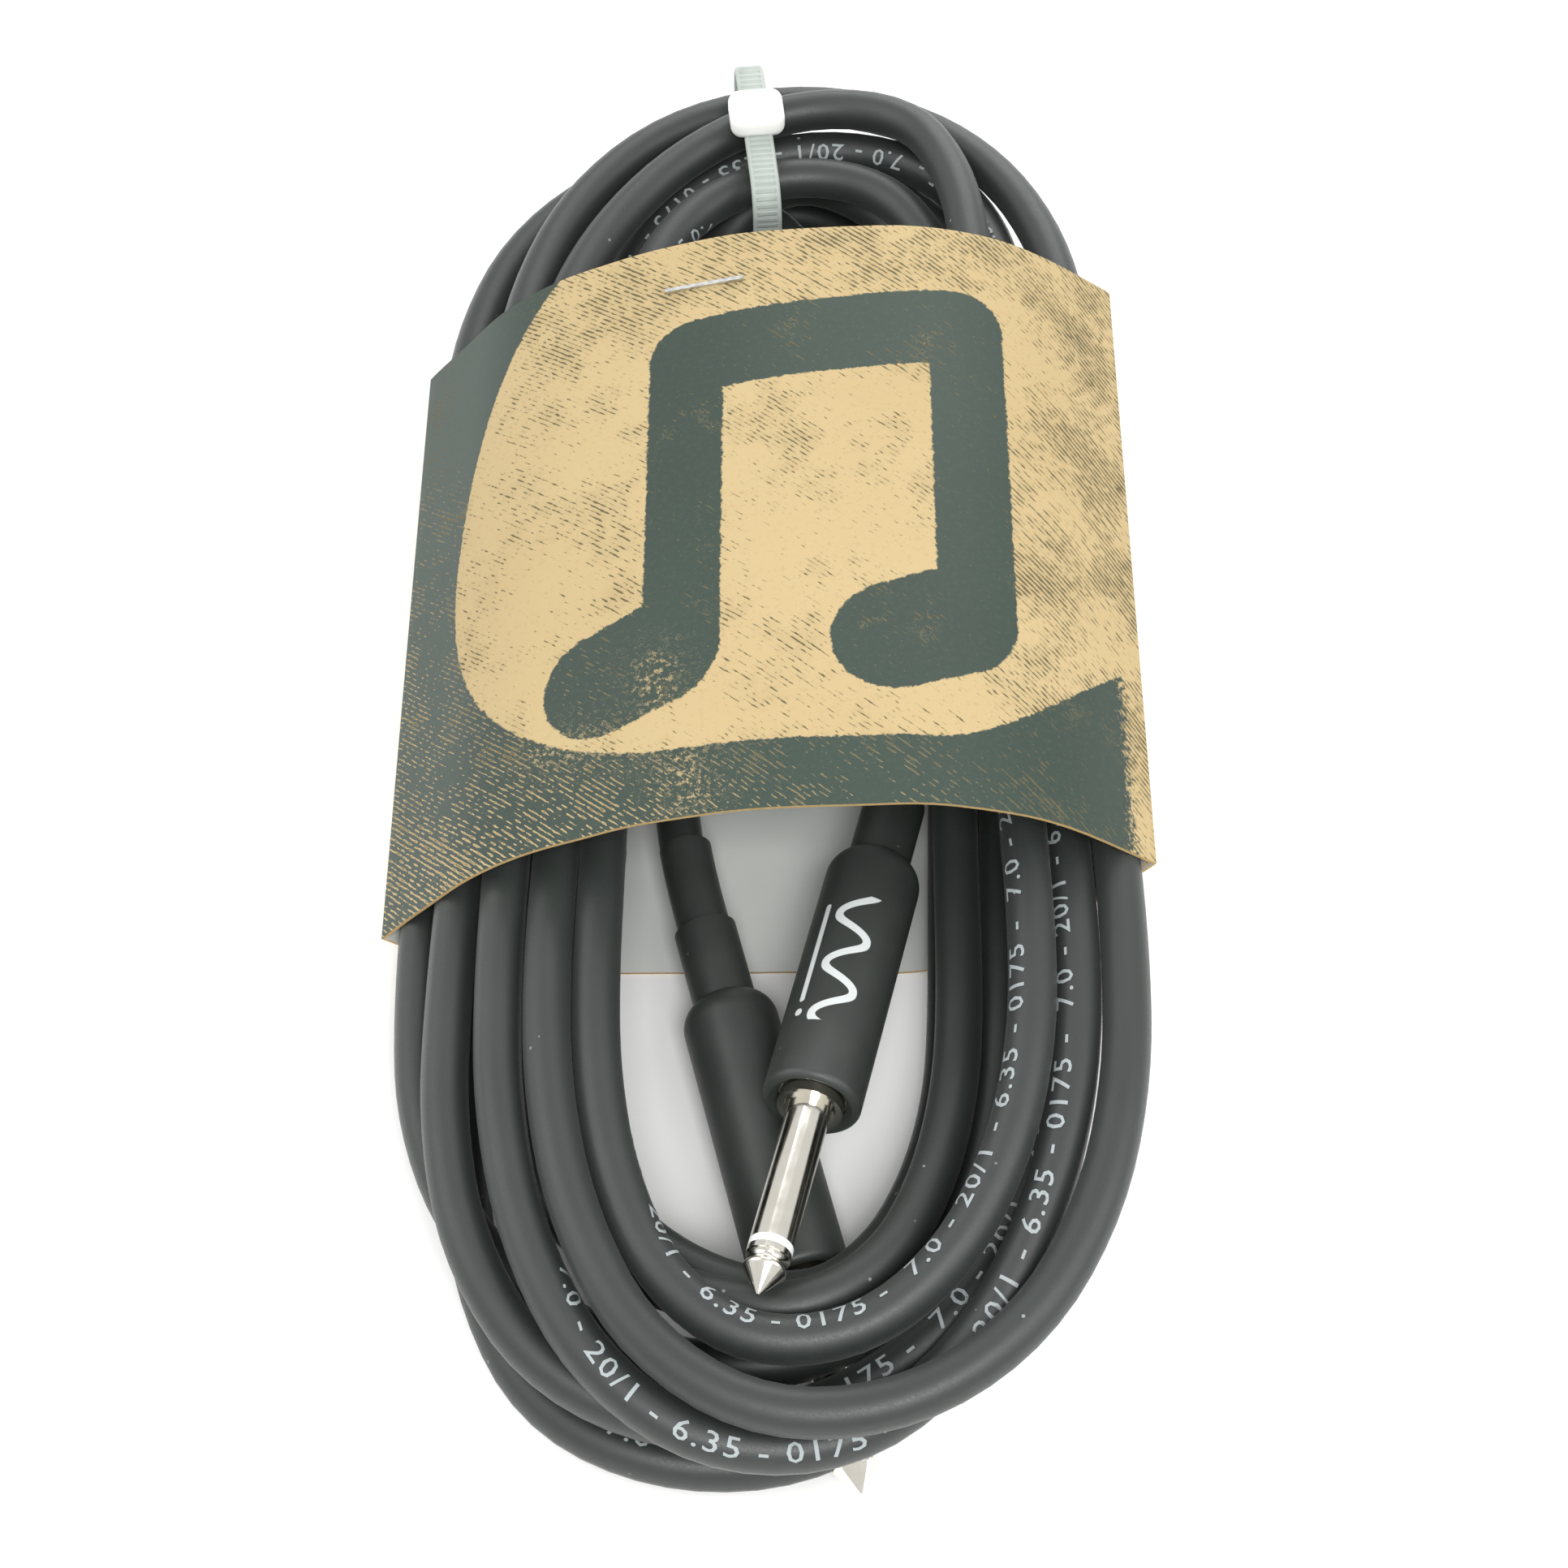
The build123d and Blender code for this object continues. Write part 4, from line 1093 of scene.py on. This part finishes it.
class CABLE_OT_cord(bpy.types.Operator):
    """Makes the whole cord, from one plug round the coil to the other"""
    bl_idname = "cable.cord"
    bl_label = "Cord"

    def execute(self, context):
        settings = context.scene.cable_cord
        points, held = cord_route()
        points = settle(points, held, settings.diameter / MM, settings.settle_steps)
        cord = nurbs_curve("instrument_cord", points * MM, settings.diameter / 2)
        cord.data.materials.append(jacket_pvc(settings))
        line = line_of(cord)
        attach(cord, "cable")
        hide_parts("cable_hank", "cord_tail_a", "cord_tail_b")
        far_plug = [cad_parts[n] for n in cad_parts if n.startswith("plug_b_")]
        far_plug.append(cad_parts["strain_relief_b"])
        tuple(on_plug("a", NECK_END) * MM)
        return {"FINISHED"}


class CABLE_OT_marking(bpy.types.Operator):
    """Prints the row of digits along the jacket"""
    bl_idname = "cable.marking"
    bl_label = "Jacket marking"

    def execute(self, context):
        settings = context.scene.cable_cord
        cord = bpy.data.objects["instrument_cord"]
        length = sum(s.calc_length() for s in cord.data.splines)
        guide = thin_copy(cord)
        guide.parent = None
        row = flat_text(LEGEND, settings.mark_height, LEGEND_SLICES)
        start = LEGEND_START * MM
        pitch = row.dimensions.x + settings.mark_gap
        count = int((length - 2 * start) / pitch)
        use_tree(row, marking_tree(), {"Cord Line": guide, "Repeats": count, "Pitch": pitch, "Start": start,
                                       "Skin Radius": settings.diameter / 2 + INK_LIFT * MM,
                                       "Cord Length": length, "Ink": screen_ink()})
        piece = plain_mesh(row, "jacket_marking")
        bpy.data.objects.remove(guide)
        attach(piece, "cable")
        return {"FINISHED"}


class CABLE_OT_card(bpy.types.Operator):
    """Makes the printed card sleeve and finishes its staple"""
    bl_idname = "cable.card"
    bl_label = "Card sleeve"

    def execute(self, context):
        piece = build_card(context.scene.cable_card)
        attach(piece, "sleeve")
        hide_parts("card_sleeve")
        give("staple", bare_metal("galvanised_staple_wire", "#c9cbcb", "#e6e7e6", 0.28))
        return {"FINISHED"}


class CABLE_OT_plugs(bpy.types.Operator):
    """Finishes both plugs and their shrink sleeves"""
    bl_idname = "cable.plugs"
    bl_label = "Plugs"

    def execute(self, context):
        settings = context.scene.cable_plug
        sleeve = shrink_sleeve(settings)
        shank = nickel_plate("polished_nickel_on_brass", settings.nickel, 0.10)
        tip = nickel_plate("polished_nickel_tip", settings.nickel, 0.08)
        ring = moulded("satin_acetal_ring", "#eef1f0", "#e2e6e5", 0.35, 0.1)
        fibre = moulded("pressed_red_fibre", "#6b2f1d", "#7f3d27", 0.7)
        tinned = bare_metal("tinned_brass_stamping", "#b9b3a3", "#cfcabd", 0.30)
        strands = bare_metal("tinned_copper_strands", "#b39a86", "#c8b6a4", 0.35)
        bead = bare_metal("bright_solder", "#b7b9bb", "#d2d4d6", 0.22)
        core = moulded("extruded_core_insulation", "#e4e4da", "#d9d9ce", 0.45)
        film = moulded("liner_film", "#d8d4c0", "#cbc7b2", 0.4)
        for key in PLUG_COLLARS:
            for part, material in (("tip_contact", tip), ("tip_insulator", ring), ("ground_sleeve", shank),
                                   ("rear_insulator", fibre), ("tip_terminal", tinned),
                                   ("ground_terminal", tinned), ("core_insulation", core),
                                   ("core_wire", strands), ("shield_tail", strands), ("tip_solder", bead),
                                   ("ground_solder", bead), ("shell", shank), ("liner", film),
                                   ("boot", sleeve)):
                give(f"plug_{key}_{part}", material)
            give(f"strain_relief_{key}", sleeve)
        give("plug_a_boot", shrink_sleeve(settings, "a"))
        return {"FINISHED"}


class CABLE_OT_tie(bpy.types.Operator):
    """Makes the cable tie's strap and head"""
    bl_idname = "cable.tie"
    bl_label = "Cable tie"

    def execute(self, context):
        piece = build_tie()
        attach(piece, "cable")
        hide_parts("cable_tie")
        return {"FINISHED"}


class CABLE_PT_panel(bpy.types.Panel):
    bl_label = "Instrument Cable"
    bl_idname = "CABLE_PT_panel"
    bl_space_type = "VIEW_3D"
    bl_region_type = "UI"
    bl_category = "Cable"

    def draw(self, context):
        for group in ("cable_cord", "cable_plug", "cable_card", "cable_stage"):
            box = self.layout.box()
            settings = getattr(context.scene, group)
            for name in settings.__annotations__:
                box.prop(settings, name)
        for operator in OPERATORS:
            self.layout.operator(operator.bl_idname)


OPERATORS = (CABLE_OT_stage, CABLE_OT_cord, CABLE_OT_marking, CABLE_OT_card, CABLE_OT_plugs, CABLE_OT_tie)
GROUPS = {"cable_cord": CordSettings, "cable_plug": PlugSettings, "cable_card": CardSettings,
          "cable_stage": StageSettings}


def register():
    for group in GROUPS.values():
        bpy.utils.register_class(group)
    for name, group in GROUPS.items():
        setattr(bpy.types.Scene, name, bpy.props.PointerProperty(type=group))
    for operator in OPERATORS:
        bpy.utils.register_class(operator)
    bpy.utils.register_class(CABLE_PT_panel)


def unregister():
    bpy.utils.unregister_class(CABLE_PT_panel)
    for operator in reversed(OPERATORS):
        bpy.utils.unregister_class(operator)
    for name, group in reversed(GROUPS.items()):
        delattr(bpy.types.Scene, name)
        bpy.utils.unregister_class(group)


def main():
    register()
    for step in ("stage", "cord", "marking", "card", "plugs", "tie"):
        getattr(bpy.ops.cable, step)()


if __name__ == "__main__":
    main()
